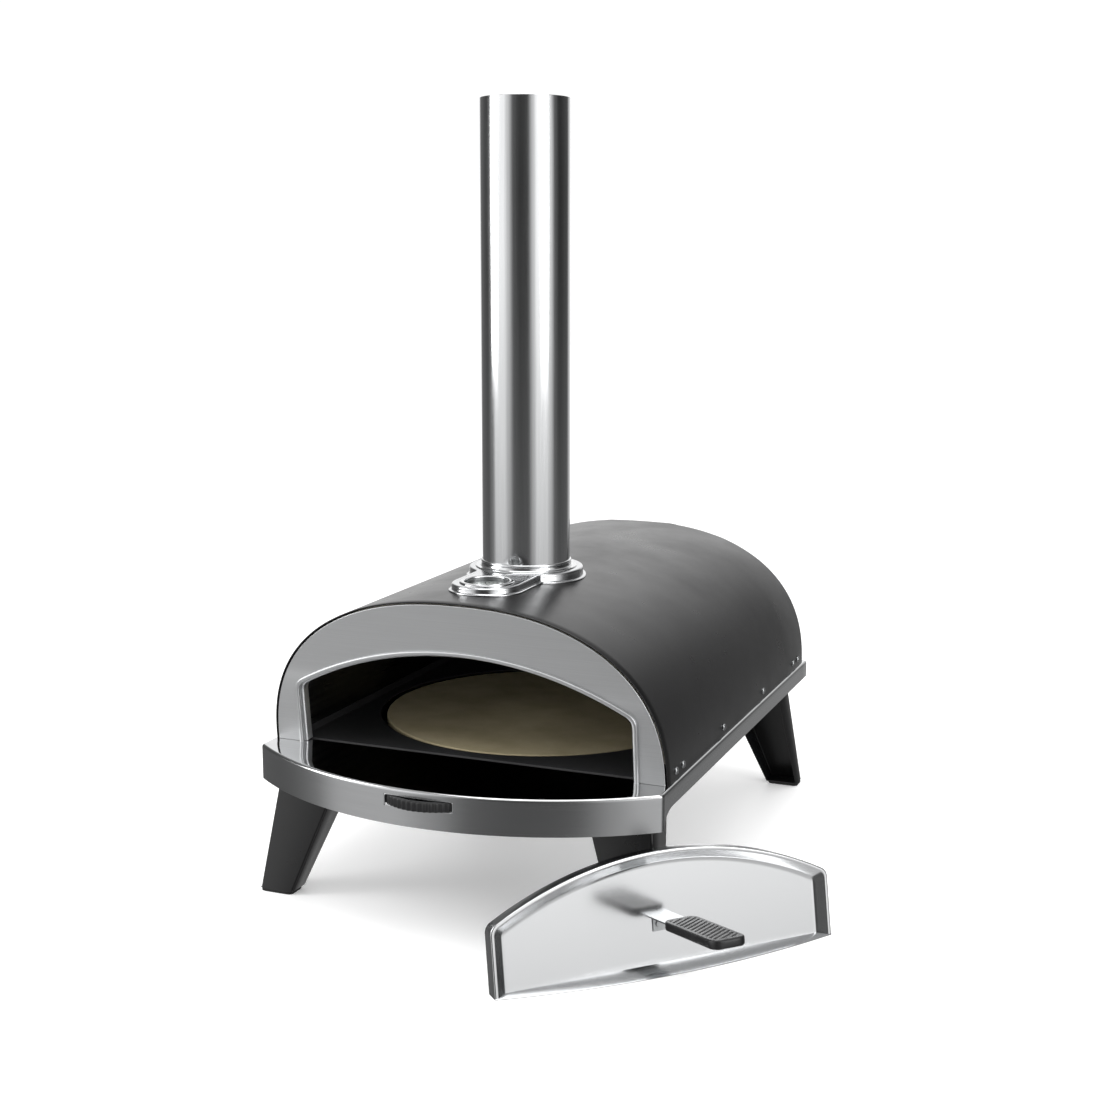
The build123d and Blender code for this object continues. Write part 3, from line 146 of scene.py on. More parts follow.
def piece(name, parts, body, material, replaced=(), sharpAngle=40, holes=()):
    # joins grids into one mesh in the row frame, points its faces outwards and shades it by angle
    places, faces, start = [], [], 0
    for points, quads in parts:
        places.append(points)
        faces += [[start + k for k in face] for face in quads]
        start += len(points)
    mesh = bpy.data.meshes.new(name)
    mesh.from_pydata((np.concatenate(places) / 1000 + shift).tolist(), [], faces)
    work = bmesh.new()
    work.from_mesh(mesh)
    bmesh.ops.remove_doubles(work, verts=work.verts, dist=1e-6)
    bmesh.ops.dissolve_degenerate(work, edges=work.edges, dist=1e-6)
    bmesh.ops.recalc_face_normals(work, faces=work.faces)
    work.to_mesh(mesh)
    work.free()
    thing = bpy.data.objects.new(name, mesh)
    bpy.context.scene.collection.objects.link(thing)
    for cutter in holes:
        cut = thing.modifiers.new("hole", "BOOLEAN")
        cut.operation, cut.solver, cut.object = "DIFFERENCE", "EXACT", cutter
    if holes:
        solid = bpy.data.meshes.new_from_object(thing.evaluated_get(bpy.context.evaluated_depsgraph_get()))
        thing.modifiers.clear()
        thing.data = solid
        solid.name = name
    thing.data.shade_smooth()
    thing.data.set_sharp_from_angle(angle=math.radians(sharpAngle))
    thing.data.materials.clear()
    thing.data.materials.append(material)
    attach(thing, body)
    if replaced:
        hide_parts(*replaced)
    return thing


# finishes

def linear(hexColour):
    # sRGB hex to linear values
    values = [int(hexColour[k:k + 2], 16) / 255 for k in (1, 3, 5)]
    return [v / 12.92 if v <= 0.04045 else ((v + 0.055) / 1.055) ** 2.4 for v in values] + [1.0]


def addNode(tree, kind, settings=None, links=None):
    # one node with its settings and the sockets that feed it
    node = tree.nodes.new(kind)
    for key, value in (settings or {}).items():
        if key in node.inputs:
            node.inputs[key].default_value = value
        else:
            setattr(node, key, value)
    for key, socket in (links or {}).items():
        tree.links.new(socket, node.inputs[key])
    return node


def startMaterial(name, settings):
    material = bpy.data.materials.new(name)
    material.use_nodes = True
    tree = material.node_tree
    shader = tree.nodes["Principled BSDF"]
    for key, value in settings.items():
        shader.inputs[key].default_value = value
    place = addNode(tree, "ShaderNodeTexCoord").outputs["Object"]
    return material, tree, shader, place


def ramp(tree, source, stops):
    node = addNode(tree, "ShaderNodeValToRGB", links={"Fac": source})
    first, last = node.color_ramp.elements
    first.position, first.color = stops[0][0], linear(stops[0][1])
    last.position, last.color = stops[-1][0], linear(stops[-1][1])
    for position, colour in stops[1:-1]:
        node.color_ramp.elements.new(position).color = linear(colour)
    return node.outputs["Color"]


def bump(tree, shader, height, strength, distance):
    node = addNode(tree, "ShaderNodeBump", {"Strength": strength, "Distance": distance}, {"Height": height})
    tree.links.new(node.outputs["Normal"], shader.inputs["Normal"])


def spread(tree, source, low, high, start=0.0, end=1.0):
    # maps a texture's value from start..end to low..high
    settings = {"From Min": start, "From Max": end, "To Min": low, "To Max": high}
    return addNode(tree, "ShaderNodeMapRange", settings, {"Value": source}).outputs["Result"]


def steel(name, look):
    # stainless sheet: fine polishing or brushing lines, hundreds to the centimetre in truth and drawn at
    # about half a millimetre so that they show, over faint cloudy marks from handling and rolling
    material, tree, shader, place = startMaterial(name, {
        "Base Color": linear(look["colour"]), "Metallic": 1.0, "Roughness": look["roughness"],
        "Anisotropic": look.get("anisotropic", 0.0)})
    stretched = addNode(tree, "ShaderNodeMapping", {"Scale": look["lines"]}, {"Vector": place})
    lines = addNode(tree, "ShaderNodeTexNoise", {"Scale": 1.0, "Detail": 4.0, "Roughness": 0.65},
                    {"Vector": stretched.outputs["Vector"]})
    clouds = addNode(tree, "ShaderNodeTexNoise", {"Scale": 9.0, "Detail": 3.0}, {"Vector": place})
    swing = look["swing"]
    lineRough = spread(tree, lines.outputs["Fac"], look["roughness"] - swing, look["roughness"] + swing,
                       0.3, 0.7)
    cloudRough = spread(tree, clouds.outputs["Fac"], 0.0, swing, 0.4, 0.75)
    total = addNode(tree, "ShaderNodeMath", {"operation": "ADD"})
    tree.links.new(lineRough, total.inputs[0])
    tree.links.new(cloudRough, total.inputs[1])
    tree.links.new(total.outputs["Value"], shader.inputs["Roughness"])
    tone = ramp(tree, lines.outputs["Fac"], [(0.3, look["dark"]), (0.7, look["colour"])])
    tree.links.new(tone, shader.inputs["Base Color"])
    bump(tree, shader, lines.outputs["Fac"], look["bump"], 0.00003)
    return material


def coat(name, look):
    # powder coat, or the floor plate darkened as painted shade for the shade inside the oven's mouth: an
    # even colour with a slight pebble 1 to 2 mm across, and a little dust in the tone
    material, tree, shader, place = startMaterial(name, {
        "Base Color": linear(look["colour"]), "Roughness": look["roughness"], "IOR": 1.5})
    pebble = addNode(tree, "ShaderNodeTexNoise", {"Scale": 1000 / look["grain"], "Detail": 2.0},
                     {"Vector": place})
    dust = addNode(tree, "ShaderNodeTexNoise", {"Scale": 14.0, "Detail": 5.0, "Roughness": 0.6},
                   {"Vector": place})
    tone = ramp(tree, dust.outputs["Fac"], [(0.35, look["colour"]), (0.75, look["dust"])])
    tree.links.new(tone, shader.inputs["Base Color"])
    rough = spread(tree, dust.outputs["Fac"], look["roughness"] - 0.04, look["roughness"] + 0.06, 0.3, 0.7)
    tree.links.new(rough, shader.inputs["Roughness"])
    bump(tree, shader, pebble.outputs["Fac"], look["bump"], 0.0002)
    return material


polished = steel("polishedStainless", {"colour": "#d9dadb", "dark": "#cfd0d1", "roughness": 0.1,
                                       "swing": 0.03,
                                       "lines": (30, 2200, 2200), "bump": 0.05})
mirror = steel("mirrorStainless", {"colour": "#d6d7d8", "dark": "#cfd0d1", "roughness": 0.035,
                                   "swing": 0.012,
                                   "lines": (30, 1800, 1800), "bump": 0.02})
apronSteel = steel("brushedApron", {"colour": "#c6c7c8", "dark": "#bcbdbe", "roughness": 0.2, "swing": 0.03,
                                    "lines": (9, 9, 3000), "bump": 0.06})
collarSteel = steel("polishedCollar", {"colour": "#d6d7d8", "dark": "#cbccce", "roughness": 0.17,
                                       "swing": 0.04,
                                       "lines": (700, 700, 700), "bump": 0.04})
doorSteel = steel("polishedDoor", {"colour": "#d9dadb", "dark": "#cfd0d1", "roughness": 0.15, "swing": 0.04,
                                   "lines": (30, 2200, 2200), "bump": 0.05})
polishedPipe = steel("polishedPipe", {"colour": "#dcddde", "dark": "#d2d3d4", "roughness": 0.12,
                                      "swing": 0.03,
                                      "lines": (1500, 1500, 12), "bump": 0.05})
panelSteel = steel("brushedPanel", {"colour": "#d6d7d8", "dark": "#cbcccd", "roughness": 0.42,
                                    "swing": 0.04,
                                    "lines": (9, 900, 3000), "bump": 0.1, "anisotropic": 0.3})
zinc = steel("zincPlatedSteel", {"colour": "#b9bbbc", "dark": "#a0a2a3", "roughness": 0.34, "swing": 0.08,
                                 "lines": (160, 160, 160), "bump": 0.1})
powder = coat("satinPowderCoat", {"colour": "#0c0c0d", "dust": "#121213", "roughness": 0.3, "grain": 1.3,
                                  "bump": 0.35})
# painted shade: the floor plate's dark colour stands in for the shade inside the oven's mouth, not for a
# finish of the plate
shadedFloorPlate = coat("paintedShadeFloorPlate", {"colour": "#262627", "dust": "#2e2e2f", "roughness": 0.45,
                                       "grain": 2.2,
                                       "bump": 0.15})
heatDark = steel("heatDarkenedSteel", {"colour": "#6a6a6b", "dark": "#525253", "roughness": 0.33,
                                       "swing": 0.08,
                                       "lines": (420, 9, 420), "bump": 0.12})


def cordierite():
    # pressed and fired ceramic slab: beige and matt, with millimetre grit of lighter and darker grog
    material, tree, shader, place = startMaterial("cordieriteStone", {
        "Base Color": linear("#b5a988"), "Roughness": 0.86, "IOR": 1.5})
    grit = addNode(tree, "ShaderNodeTexVoronoi", {"Scale": 700.0}, {"Vector": place})
    mottle = addNode(tree, "ShaderNodeTexNoise", {"Scale": 26.0, "Detail": 6.0, "Roughness": 0.6},
                     {"Vector": place})
    base = ramp(tree, mottle.outputs["Fac"], [(0.3, "#a89c7c"), (0.55, "#b5a988"), (0.8, "#c0b596")])
    specks = ramp(tree, grit.outputs["Distance"], [(0.0, "#8f8069"), (0.25, "#ffffff")])
    mixed = addNode(tree, "ShaderNodeMix", {"data_type": "RGBA", "blend_type": "MULTIPLY"})
    mixed.inputs[0].default_value = 0.35
    tree.links.new(base, mixed.inputs[6])
    tree.links.new(specks, mixed.inputs[7])
    tree.links.new(mixed.outputs[2], shader.inputs["Base Color"])
    bump(tree, shader, grit.outputs["Distance"], 0.35, 0.0003)
    return material


def moulded(name, look):
    # injection moulded plastic or rubber: near black, with a spark-eroded grain of half a millimetre
    material, tree, shader, place = startMaterial(name, {
        "Base Color": linear(look["colour"]), "Roughness": look["roughness"], "IOR": 1.49})
    grain = addNode(tree, "ShaderNodeTexNoise", {"Scale": 1000 / look["grain"], "Detail": 3.0},
                    {"Vector": place})
    worn = addNode(tree, "ShaderNodeTexNoise", {"Scale": 40.0, "Detail": 4.0}, {"Vector": place})
    tone = ramp(tree, worn.outputs["Fac"], [(0.3, look["colour"]), (0.8, look["worn"])])
    tree.links.new(tone, shader.inputs["Base Color"])
    rough = spread(tree, worn.outputs["Fac"], look["roughness"] - 0.05, look["roughness"] + 0.08, 0.3, 0.7)
    tree.links.new(rough, shader.inputs["Roughness"])
    bump(tree, shader, grain.outputs["Fac"], look["bump"], 0.0002)
    return material


def fibreBlanket():
    # needled ceramic fibre: off-white, very matt, with matted strands about a millimetre apart
    material, tree, shader, place = startMaterial("ceramicFibre",
                                                  {"Base Color": linear("#dcd8ce"), "Roughness": 0.95})
    stretched = addNode(tree, "ShaderNodeMapping", {"Scale": (300, 900, 300)}, {"Vector": place})
    strands = addNode(tree, "ShaderNodeTexNoise", {"Scale": 1.0, "Detail": 5.0},
                      {"Vector": stretched.outputs["Vector"]})
    tone = ramp(tree, strands.outputs["Fac"], [(0.3, "#c4bfb2"), (0.7, "#e6e2d8")])
    tree.links.new(tone, shader.inputs["Base Color"])
    bump(tree, shader, strands.outputs["Fac"], 0.6, 0.0006)
    return material


def glassPane():
    material, tree, shader, place = startMaterial("flatGlass", {
        "Base Color": linear("#f4f8f8"), "Roughness": 0.02, "IOR": 1.5, "Transmission Weight": 1.0})
    smear = addNode(tree, "ShaderNodeTexNoise", {"Scale": 60.0, "Detail": 3.0}, {"Vector": place})
    tree.links.new(spread(tree, smear.outputs["Fac"], 0.01, 0.05, 0.4, 0.7), shader.inputs["Roughness"])
    return material


def dialPaint():
    # silk-screened aluminium: off-white enamel with a whisper of grain
    material, tree, shader, place = startMaterial("dialEnamel",
                                                  {"Base Color": linear("#e9e8e3"), "Roughness": 0.4})
    grain = addNode(tree, "ShaderNodeTexNoise", {"Scale": 900.0, "Detail": 2.0}, {"Vector": place})
    tone = ramp(tree, grain.outputs["Fac"], [(0.3, "#e2e1dc"), (0.7, "#edece8")])
    tree.links.new(tone, shader.inputs["Base Color"])
    return material


stoneFinish = cordierite()
plastic = moulded("mouldedPlastic", {"colour": "#131314", "worn": "#1b1b1c", "roughness": 0.42,
                                     "grain": 0.5,
                                     "bump": 0.25})
rubber = moulded("footRubber", {"colour": "#151515", "worn": "#202020", "roughness": 0.72, "grain": 0.8,
                                "bump": 0.4})
inkBlack = moulded("dialInk", {"colour": "#101010", "worn": "#161616", "roughness": 0.5, "grain": 0.6,
                               "bump": 0.05})
bronze = steel("oiledBronze", {"colour": "#b08d4e", "dark": "#96753d", "roughness": 0.3, "swing": 0.06,
                               "lines": (300, 300, 300), "bump": 0.1})
blanketFinish = fibreBlanket()
glassFinish = glassPane()
dialFinish = dialPaint()

finishes = {
    "polished_steel": polished, "brushed_steel": panelSteel, "plain_steel": zinc,
    "black_powder_coat": powder,
    "dark_heat_coat": heatDark, "blanket": blanketFinish, "cordierite": stoneFinish,
    "black_plastic": plastic,
    "bronze_bush": bronze, "dial_white": dialFinish, "pointer_black": inkBlack, "clear_glass": glassFinish,
    "foot_rubber": rubber}
slotOf = {part["node"]: part["material_slot"] for part in frame["record"]["subparts"]}
for name, node in nodes.items():
    # the floor plate gets the dark painted-shade finish in place of the finish its slot gives
    finish = shadedFloorPlate if name == "floor_plate" else finishes[slotOf[name]]
    if len(node.material_slots) == 0:
        node.data.materials.append(finish)
    for spot in node.material_slots:
        spot.material = finish
print("stage: finishes on", len(nodes), "carried-over parts")


# outlines shared by the shell, the panel and the openings

def vaultOutline(halfWidth, height, count=161):
    # (x / half width)^p + (z / height)^p = 1, from the left foot over the crown to the right foot
    turn = np.linspace(0, math.pi / 2, 400)
    x = halfWidth * np.cos(turn) ** (2 / oven["power"])
    z = height * np.sin(turn) ** (2 / oven["power"])
    right = np.stack([x, z], axis=1)
    left = right[::-1] * [-1, 1]
    return resample(np.concatenate([right[::1], left])[::-1], count)


mouth = {"halfWidth": 179.0, "apex": 111.0, "radius": 362.0, "corner": 14.0}


def mouthOutline(inset, foot=0.2, count=161):
    # two upright jambs, a small arc at each shoulder and one flat arc over the middle, drawn in by inset
    halfWidth, apex, radius = mouth["halfWidth"] - inset, mouth["apex"] - inset, mouth["radius"] - inset
    corner = mouth["corner"] - inset / 2
    centre = apex - radius
    shoulder = centre + math.sqrt((radius - corner) ** 2 - (halfWidth - corner) ** 2)
    tip = math.atan2(shoulder - centre, halfWidth - corner)
    jamb = np.stack([np.full(30, halfWidth), np.linspace(foot, shoulder, 30)], axis=1)
    bend = np.array(roundBend((halfWidth - corner, shoulder), corner, 0, math.degrees(tip), 14))
    crown = np.array(roundBend((0, centre), radius, math.degrees(tip), 90, 90))
    right = np.concatenate([jamb, bend[1:], crown[1:]])
    left = right[::-1][1:] * [-1, 1]
    return resample(np.concatenate([right, left])[::-1], count)


def onPanel(flat, out):
    # in-plane x and height plus distance out of the leaning front, to the oven's own x, y, z
    lean = oven["lean"]
    x, v = flat[..., 0], flat[..., 1]
    y = -v * math.sin(lean) - out * math.cos(lean)
    z = oven["trayTop"] + v * math.cos(lean) - out * math.sin(lean)
    return np.stack([x, y + 0 * x, z + 0 * x], axis=-1)


def skin(offset, thickness, frontCut, rear, flange=0.0):
    # a thin closed section carried over the vault: inwards offset and place along y; the front leans
    halfWidth, height = oven["halfWidth"] - offset, oven["height"] - offset
    path = vaultOutline(halfWidth, height)
    path[:, 1] = np.maximum(path[:, 1], 0)
    normal = outward(path)
    normal[0], normal[-1] = (-1, 0), (1, 0)
    lean = oven["lean"]
    front = (frontCut - path[:, 1] * math.sin(lean)) / math.cos(lean)
    bend = 3.0
    section = [(0, 0, 0.5)] + [(0, share, 0.0) for share in (0.02, 0.1, 0.25, 0.4, 0.55, 0.7, 0.85)]
    if flange:
        section += [(bend * (1 - math.cos(t)), 1,
                     -bend * (1 - math.sin(t))) for t in np.linspace(0, math.pi / 2, 6)]
        section += [(flange, 1, 0), (flange, 1, -thickness), (bend, 1, -thickness), (thickness, 1, -bend)]
    else:
        section += [(0, 1, 0), (thickness, 1, 0)]
    section += [(thickness, share, 0.0) for share in (0.85, 0.55, 0.25, 0.1)]
    section += [(thickness, 0, 0.5), (thickness * 0.75, 0, 0.1), (thickness * 0.25, 0, 0.1)]
    section = np.array(section)
    inwards, share, extra = section[:, 0], section[:, 1], section[:, 2]
    y = front[:, None] * (1 - share) + rear * share + extra
    x = path[:, None, 0] - normal[:, None, 0] * inwards
    z = oven["trayTop"] + path[:, None, 1] - normal[:, None, 1] * inwards
    return grid(np.stack([x, y, np.maximum(z, oven["trayTop"])], axis=-1), wrapColumns=True, caps=True)


def cutterRod(x, y, radius, low, high):
    # a hidden upright rod that cuts a round hole, removed afterwards
    points, faces = solidTurned([(0, low), (radius, low), (radius, high), (0, high)], (x, y, 0), count=96)
    mesh = bpy.data.meshes.new("cutter")
    mesh.from_pydata((points / 1000 + shift).tolist(), [], faces)
    work = bmesh.new()
    work.from_mesh(mesh)
    bmesh.ops.remove_doubles(work, verts=work.verts, dist=1e-6)
    bmesh.ops.recalc_face_normals(work, faces=work.faces)
    work.to_mesh(mesh)
    work.free()
    rod = bpy.data.objects.new("cutter", mesh)
    bpy.context.scene.collection.objects.link(rod)
    return rod


flue = {"y": 156.0, "radius": 44.9, "wall": 1.0, "top": 779.0, "low": 288.0, "collarTop": 314.0}
dial = {"y": 58.0}

cuts = {"flue": 46.5, "case": 23.4, "stem": 3.4, "low": 240, "high": 340}
flueCut = cutterRod(0, flue["y"], cuts["flue"], cuts["low"], cuts["high"])
caseCut = cutterRod(0, dial["y"], cuts["case"], cuts["low"], cuts["high"])
stemCut = cutterRod(0, dial["y"], cuts["stem"], cuts["low"], cuts["high"])
piece("domeShell", [skin(0.0, 1.2, 0.0, oven["rear"], flange=12.0)], "base", powder,
      ["outer_shell"], holes=[flueCut, caseCut])
piece("linerSkin", [skin(20.0, 1.0, 12.0, 497.0)], "base", heatDark, ["inner_liner"],
      holes=[flueCut, stemCut])
for rod in (flueCut, caseCut, stemCut):
    bpy.data.objects.remove(rod)
print("stage: vault")

panel = {"inset": 2.7, "sheet": 1.2, "lip": 4.0, "lipHeight": 3.0, "round": 1.3}


def frontPanel():
    # flat ring between the vault's outline and the mouth's, with a rounded lip standing out round the mouth
    lean = oven["lean"]
    outer = vaultOutline(oven["halfWidth"] - panel["inset"],
                         (oven["height"] - panel["inset"]) / math.cos(lean))
    inner = mouthOutline(panel["lip"])
    start = mouthOutline(0)
    outer[:, 1] = np.maximum(outer[:, 1], 0.2)
    sheet, lip, rise, r = panel["sheet"], panel["lip"], panel["lipHeight"], panel["round"]
    rows = [(outer, -sheet), (outer, -0.3), (outer * [0.9985, 0.998] + [0, 0.0], 0.0)]
    rows += [(outer * (1 - t) + start * t, 0.0) for t in (0.15, 0.5, 0.85, 0.97)]
    rows += [(start, 0.0), (start, rise - r)]
    rows += [(mouthOutline(r * (1 - math.cos(t))), rise - r
              + r * math.sin(t)) for t in np.linspace(0.3, math.pi / 2, 4)]
    rows += [(mouthOutline(lip - r * (1 - math.sin(t))), rise - r
              + r * math.cos(t)) for t in np.linspace(0, math.pi / 2, 5)]
    rows += [(inner, 0.0), (inner, -sheet)]
    points = np.stack([onPanel(np.maximum(flat, [-1e9, 0.2]), out) for flat, out in rows], axis=1)
    return grid(points, wrapColumns=True, caps=True)


def mouthFrame():
    # sheet behind the panel with a flange bent back round the mouth
    lean = oven["lean"]
    outer = vaultOutline(oven["halfWidth"] - 20, (oven["height"] - 20) / math.cos(lean))
    outer[:, 1] = np.maximum(outer[:, 1], 0.2)
    inset, sheet, back = 6.6, 1.2, -1.5
    rows = [(outer, back), (mouthOutline(inset - 2.5), back)]
    rows += [(mouthOutline(inset - 2.5 + 2.5 * math.sin(t)),
              back - 2.5 * (1 - math.cos(t))) for t in (0.4, 0.8, 1.2, 1.57)]
    rows += [(mouthOutline(inset), back - 10.0), (mouthOutline(inset - sheet), back - 10.0)]
    rows += [(mouthOutline(inset - sheet), back - 2.5), (mouthOutline(inset - 2.5), back - sheet),
             (outer, back - sheet)]
    points = np.stack([onPanel(np.maximum(flat, [-1e9, 0.2]), out) for flat, out in rows], axis=1)
    return grid(points, wrapColumns=True, caps=True)


piece("frontPanel", [frontPanel()], "base", panelSteel, ["front_panel"], sharpAngle=35)
piece("mouthFrame", [mouthFrame()], "base", panelSteel, ["mouth_frame"])
print("stage: front panel")

tray = {"halfWidth": 210.5, "frontY": -23.5, "bow": 75.0, "rearY": 522.5, "corner": 7.0, "edge": 3.0,
        "sheet": 1.2,
        "apron": 35.0, "skirt": 18.5, "wellRadius": 171.5, "slotHalf": 35.0, "slotLow": 131.5,
        "slotHigh": 142.5}
bowRadius = (tray["halfWidth"] ** 2 + tray["bow"] ** 2) / (2 * tray["bow"])
bowCentreY = tray["frontY"] - tray["bow"] + bowRadius


def trayOutline(inset):
    # bowed front, straight sides and rear, each corner a small arc, drawn in by inset; columns stay matched
    radius = bowRadius - inset
    corner = tray["corner"] - min(inset, tray["corner"] - 0.6)
    half = tray["halfWidth"] - inset
    middleX = half - corner
    middleY = bowCentreY - math.sqrt((radius - corner) ** 2 - middleX ** 2)
    meet = math.atan2(middleX, bowCentreY - middleY)
    slotTurn = math.asin(tray["slotHalf"] / radius)
    turns = np.concatenate([np.linspace(-meet, -slotTurn, 60)[:-1],
                            np.linspace(-slotTurn, slotTurn, 25)[:-1],
                            np.linspace(slotTurn, meet, 60)])
    front = np.stack([radius * np.sin(turns), bowCentreY - radius * np.cos(turns)], axis=1)
    frontRight = np.array(roundBend((middleX, middleY), corner, math.degrees(meet) - 90, 0, 9))[1:]
    rear = tray["rearY"] - inset
    side = np.concatenate([np.linspace(middleY, 6, 24)[1:], np.linspace(6, rear - corner, 30)[1:]])
    right = np.stack([np.full(len(side), half), side], axis=1)
    rearRight = np.array(roundBend((middleX, rear - corner), corner, 0, 90, 9))[1:]
    back = np.stack([np.linspace(middleX, -middleX, 40)[1:], np.full(39, rear)], axis=1)
    mirrored = np.concatenate([frontRight, right, rearRight])[::-1] * [-1, 1]
    return np.concatenate([front, frontRight, right, rearRight, back[:-1], mirrored])


def trayBody():
    # one closed sheet: out from the stone's opening, over the rolled edge, down the apron and back inside
    sheet, edge, top = tray["sheet"], tray["edge"], oven["trayTop"]
    border = trayOutline(14)
    away = border - [0, oven["stoneY"]]
    hole = [0, oven["stoneY"]] + tray["wellRadius"] * away / np.linalg.norm(away, axis=1, keepdims=True)
    outerY = trayOutline(0)[:, 1]
    cove = np.sqrt(np.clip(1 - ((4 - outerY) / 24) ** 2, 0, 1))
    low = np.where(outerY > 4, top - tray["skirt"], np.where(outerY < -20, top - tray["apron"],
                   top - tray["apron"] + (tray["apron"] - tray["skirt"]) * cove))
    level = np.ones(len(border))
    rows = [(hole, top * level), (hole * 0.5 + border * 0.5, top * level), (border, top * level)]
    rows += [(trayOutline(edge * (1 - math.sin(t))), (top - edge * (1 - math.cos(t))) * level)
             for t in np.linspace(0, math.pi / 2, 8)]
    heights = [tray["slotHigh"], tray["slotLow"]]
    rows += [(trayOutline(0), np.maximum(h * level, low + 0.2)) for h in heights]
    first = len(rows) - 2
    rows += [(trayOutline(0), low), (trayOutline(sheet), low)]
    rows += [(trayOutline(sheet), np.maximum(h * level, low + 0.2)) for h in heights[::-1]]
    second = len(rows) - 2
    rows += [(trayOutline(sheet), (top - edge) * level), (trayOutline(edge), (top - sheet) * level)]
    rows += [(border, (top - sheet) * level), (hole, (top - sheet) * level)]
    points = np.stack([np.concatenate([flat, z[:, None]], axis=1) for flat, z in rows], axis=1)
    drop = np.zeros(points.shape[:2], bool)
    drop[59:83, first] = True
    drop[59:83, second] = True
    skinPart = grid(points, wrapRows=True, wrapColumns=True, drop=drop)
    ends = [points[59:84, [first, second + 1]], points[59:84, [first + 1, second]]]
    rims = [grid(end) for end in ends]
    sides = [grid(points[k][[[first, first + 1], [second + 1, second]]]) for k in (59, 83)]
    return [skinPart] + rims + sides


trayPiece = piece("trayBody", trayBody(), "base", mirror, ["base_tray"], sharpAngle=50)
trayPiece.data.materials.append(apronSteel)
for face in trayPiece.data.polygons:
    face.material_index = int(abs(face.normal.z) < 0.35)


def slotRim():
    # a fine rolled edge round the wheel's slot, following the apron's bow
    half, low, high, corner = tray["slotHalf"] - 0.2, tray["slotLow"] + 0.2, tray["slotHigh"] - 0.2, 2.5
    path = (roundBend((half - corner, high - corner), corner, 90, 0, 8)
            + roundBend((half - corner, low + corner), corner, 0, -90, 8)
            + [(x, low) for x in np.linspace(half - corner, corner - half, 24)[1:-1]]
            + roundBend((corner - half, low + corner), corner, -90, -180, 8)
            + roundBend((corner - half, high - corner), corner, 180, 90, 8)
            + [(x, high) for x in np.linspace(corner - half, half - corner, 24)[1:-1]])
    path = np.array(path)
    y = bowCentreY - np.sqrt(bowRadius ** 2 - path[:, 0] ** 2) + 0.75
    return tube(np.stack([path[:, 0], y, path[:, 1]], axis=1), 0.7, count=10, closed=True)


piece("slotRim", [slotRim()], "base", polished)
print("stage: tray")

wheel = {"y": -55.4, "radius": 52.5, "low": 132.5, "high": 141.5, "rim": 6.0, "ribs": 60, "rib": 0.55,
         "hub": 10.05,
         "bore": 6.05, "hubLow": 120.0, "spokes": 5}


def handWheel():
    # a fluted ring, flat spokes and a hub; each flute is a cosine of the angle round the rim
    r, low, high = wheel["radius"] - wheel["rib"], wheel["low"], wheel["high"]
    inner = wheel["radius"] - wheel["rim"]
    rimSection = [(inner, low + 0.6), (inner + 0.6, low), (r - 1.2, low), (r - 0.3, low + 0.4),
                  (r, low + 1.2),
                  (r, high - 1.2), (r - 0.3, high - 0.4), (r - 1.2, high), (inner + 0.6, high),
                  (inner, high - 0.6)]
    rim = loop(rimSection, (0, wheel["y"], 0), count=wheel["ribs"] * 8,
               wave=lambda turn: wheel["rib"] * np.cos(wheel["ribs"] * turn))
    hub = loop([(wheel["bore"], wheel["hubLow"]), (wheel["hub"], wheel["hubLow"]),
                (wheel["hub"], high - 0.8),
                (wheel["hub"] - 0.8, high), (wheel["bore"], high)], (0, wheel["y"], 0), count=64)
    spokes = []
    for k in range(wheel["spokes"]):
        turn = math.radians(20 + 72 * k)
        reach = np.linspace(wheel["hub"] - 1, inner + 1.5, 12)
        half = 3.5 + 1.5 * ((reach - reach.mean()) / (reach[-1] - reach[0]) * 2) ** 2
        ring = np.array([(-1, -0.6), (-0.85, -1), (0.85, -1), (1, -0.6), (1, 0.6), (0.85, 1), (-0.85, 1),
                         (-1, 0.6)])
        across, up = ring[None, :, 0] * half[:, None], ring[None, :, 1] * 2.25 * np.ones((12, 1))
        x = reach[:, None] * math.cos(turn) - across * math.sin(turn)
        y = reach[:, None] * math.sin(turn) + across * math.cos(turn) + wheel["y"]
        spokes.append(grid(np.stack([x, y, up + (low + high) / 2], axis=-1), wrapColumns=True, caps=True))
    return [rim, hub] + spokes


piece("handWheel", handWheel(), "hand_wheel", plastic, ["thumb_wheel"])
print("stage: hand wheel")

pipe = {"bead": 1.6, "beadZ": 319.9}


def chimneyPipe():
    # thin pipe with a rolled bead that stands on the socket, its top rim turned over
    r, wall, low, top = flue["radius"], flue["wall"], flue["low"], flue["top"]
    bead = [(r + pipe["bead"] * math.cos(t), pipe["beadZ"] + pipe["bead"] * math.sin(t))
            for t in np.linspace(-math.pi / 2, math.pi / 2, 9)]
    inner = [(r - wall + 0.6 * math.cos(t), pipe["beadZ"]
              + 0.9 * math.sin(t)) for t in np.linspace(math.pi / 2, -math.pi / 2, 5)]
    rim = [(r - wall / 2 + (wall / 2) * math.cos(t), top - wall / 2 + (wall / 2) * math.sin(t))
           for t in np.linspace(0, math.pi, 7)]
    profile = [(r, low)] + bead + [(r, 360), (r, 560), (r, 700)] + rim + [(r - wall, 700), (r - wall, 360)]
    profile += inner + [(r - wall, low)]
    return loop(profile, (0, flue["y"], 0), count=192)


piece("chimneyPipe", [chimneyPipe()], "chimney", polishedPipe, ["chimney_pipe"])

collar = {"body": 58.5, "nose": 34.5, "lip": 3.0, "fillet": 7.0, "round": 2.2}


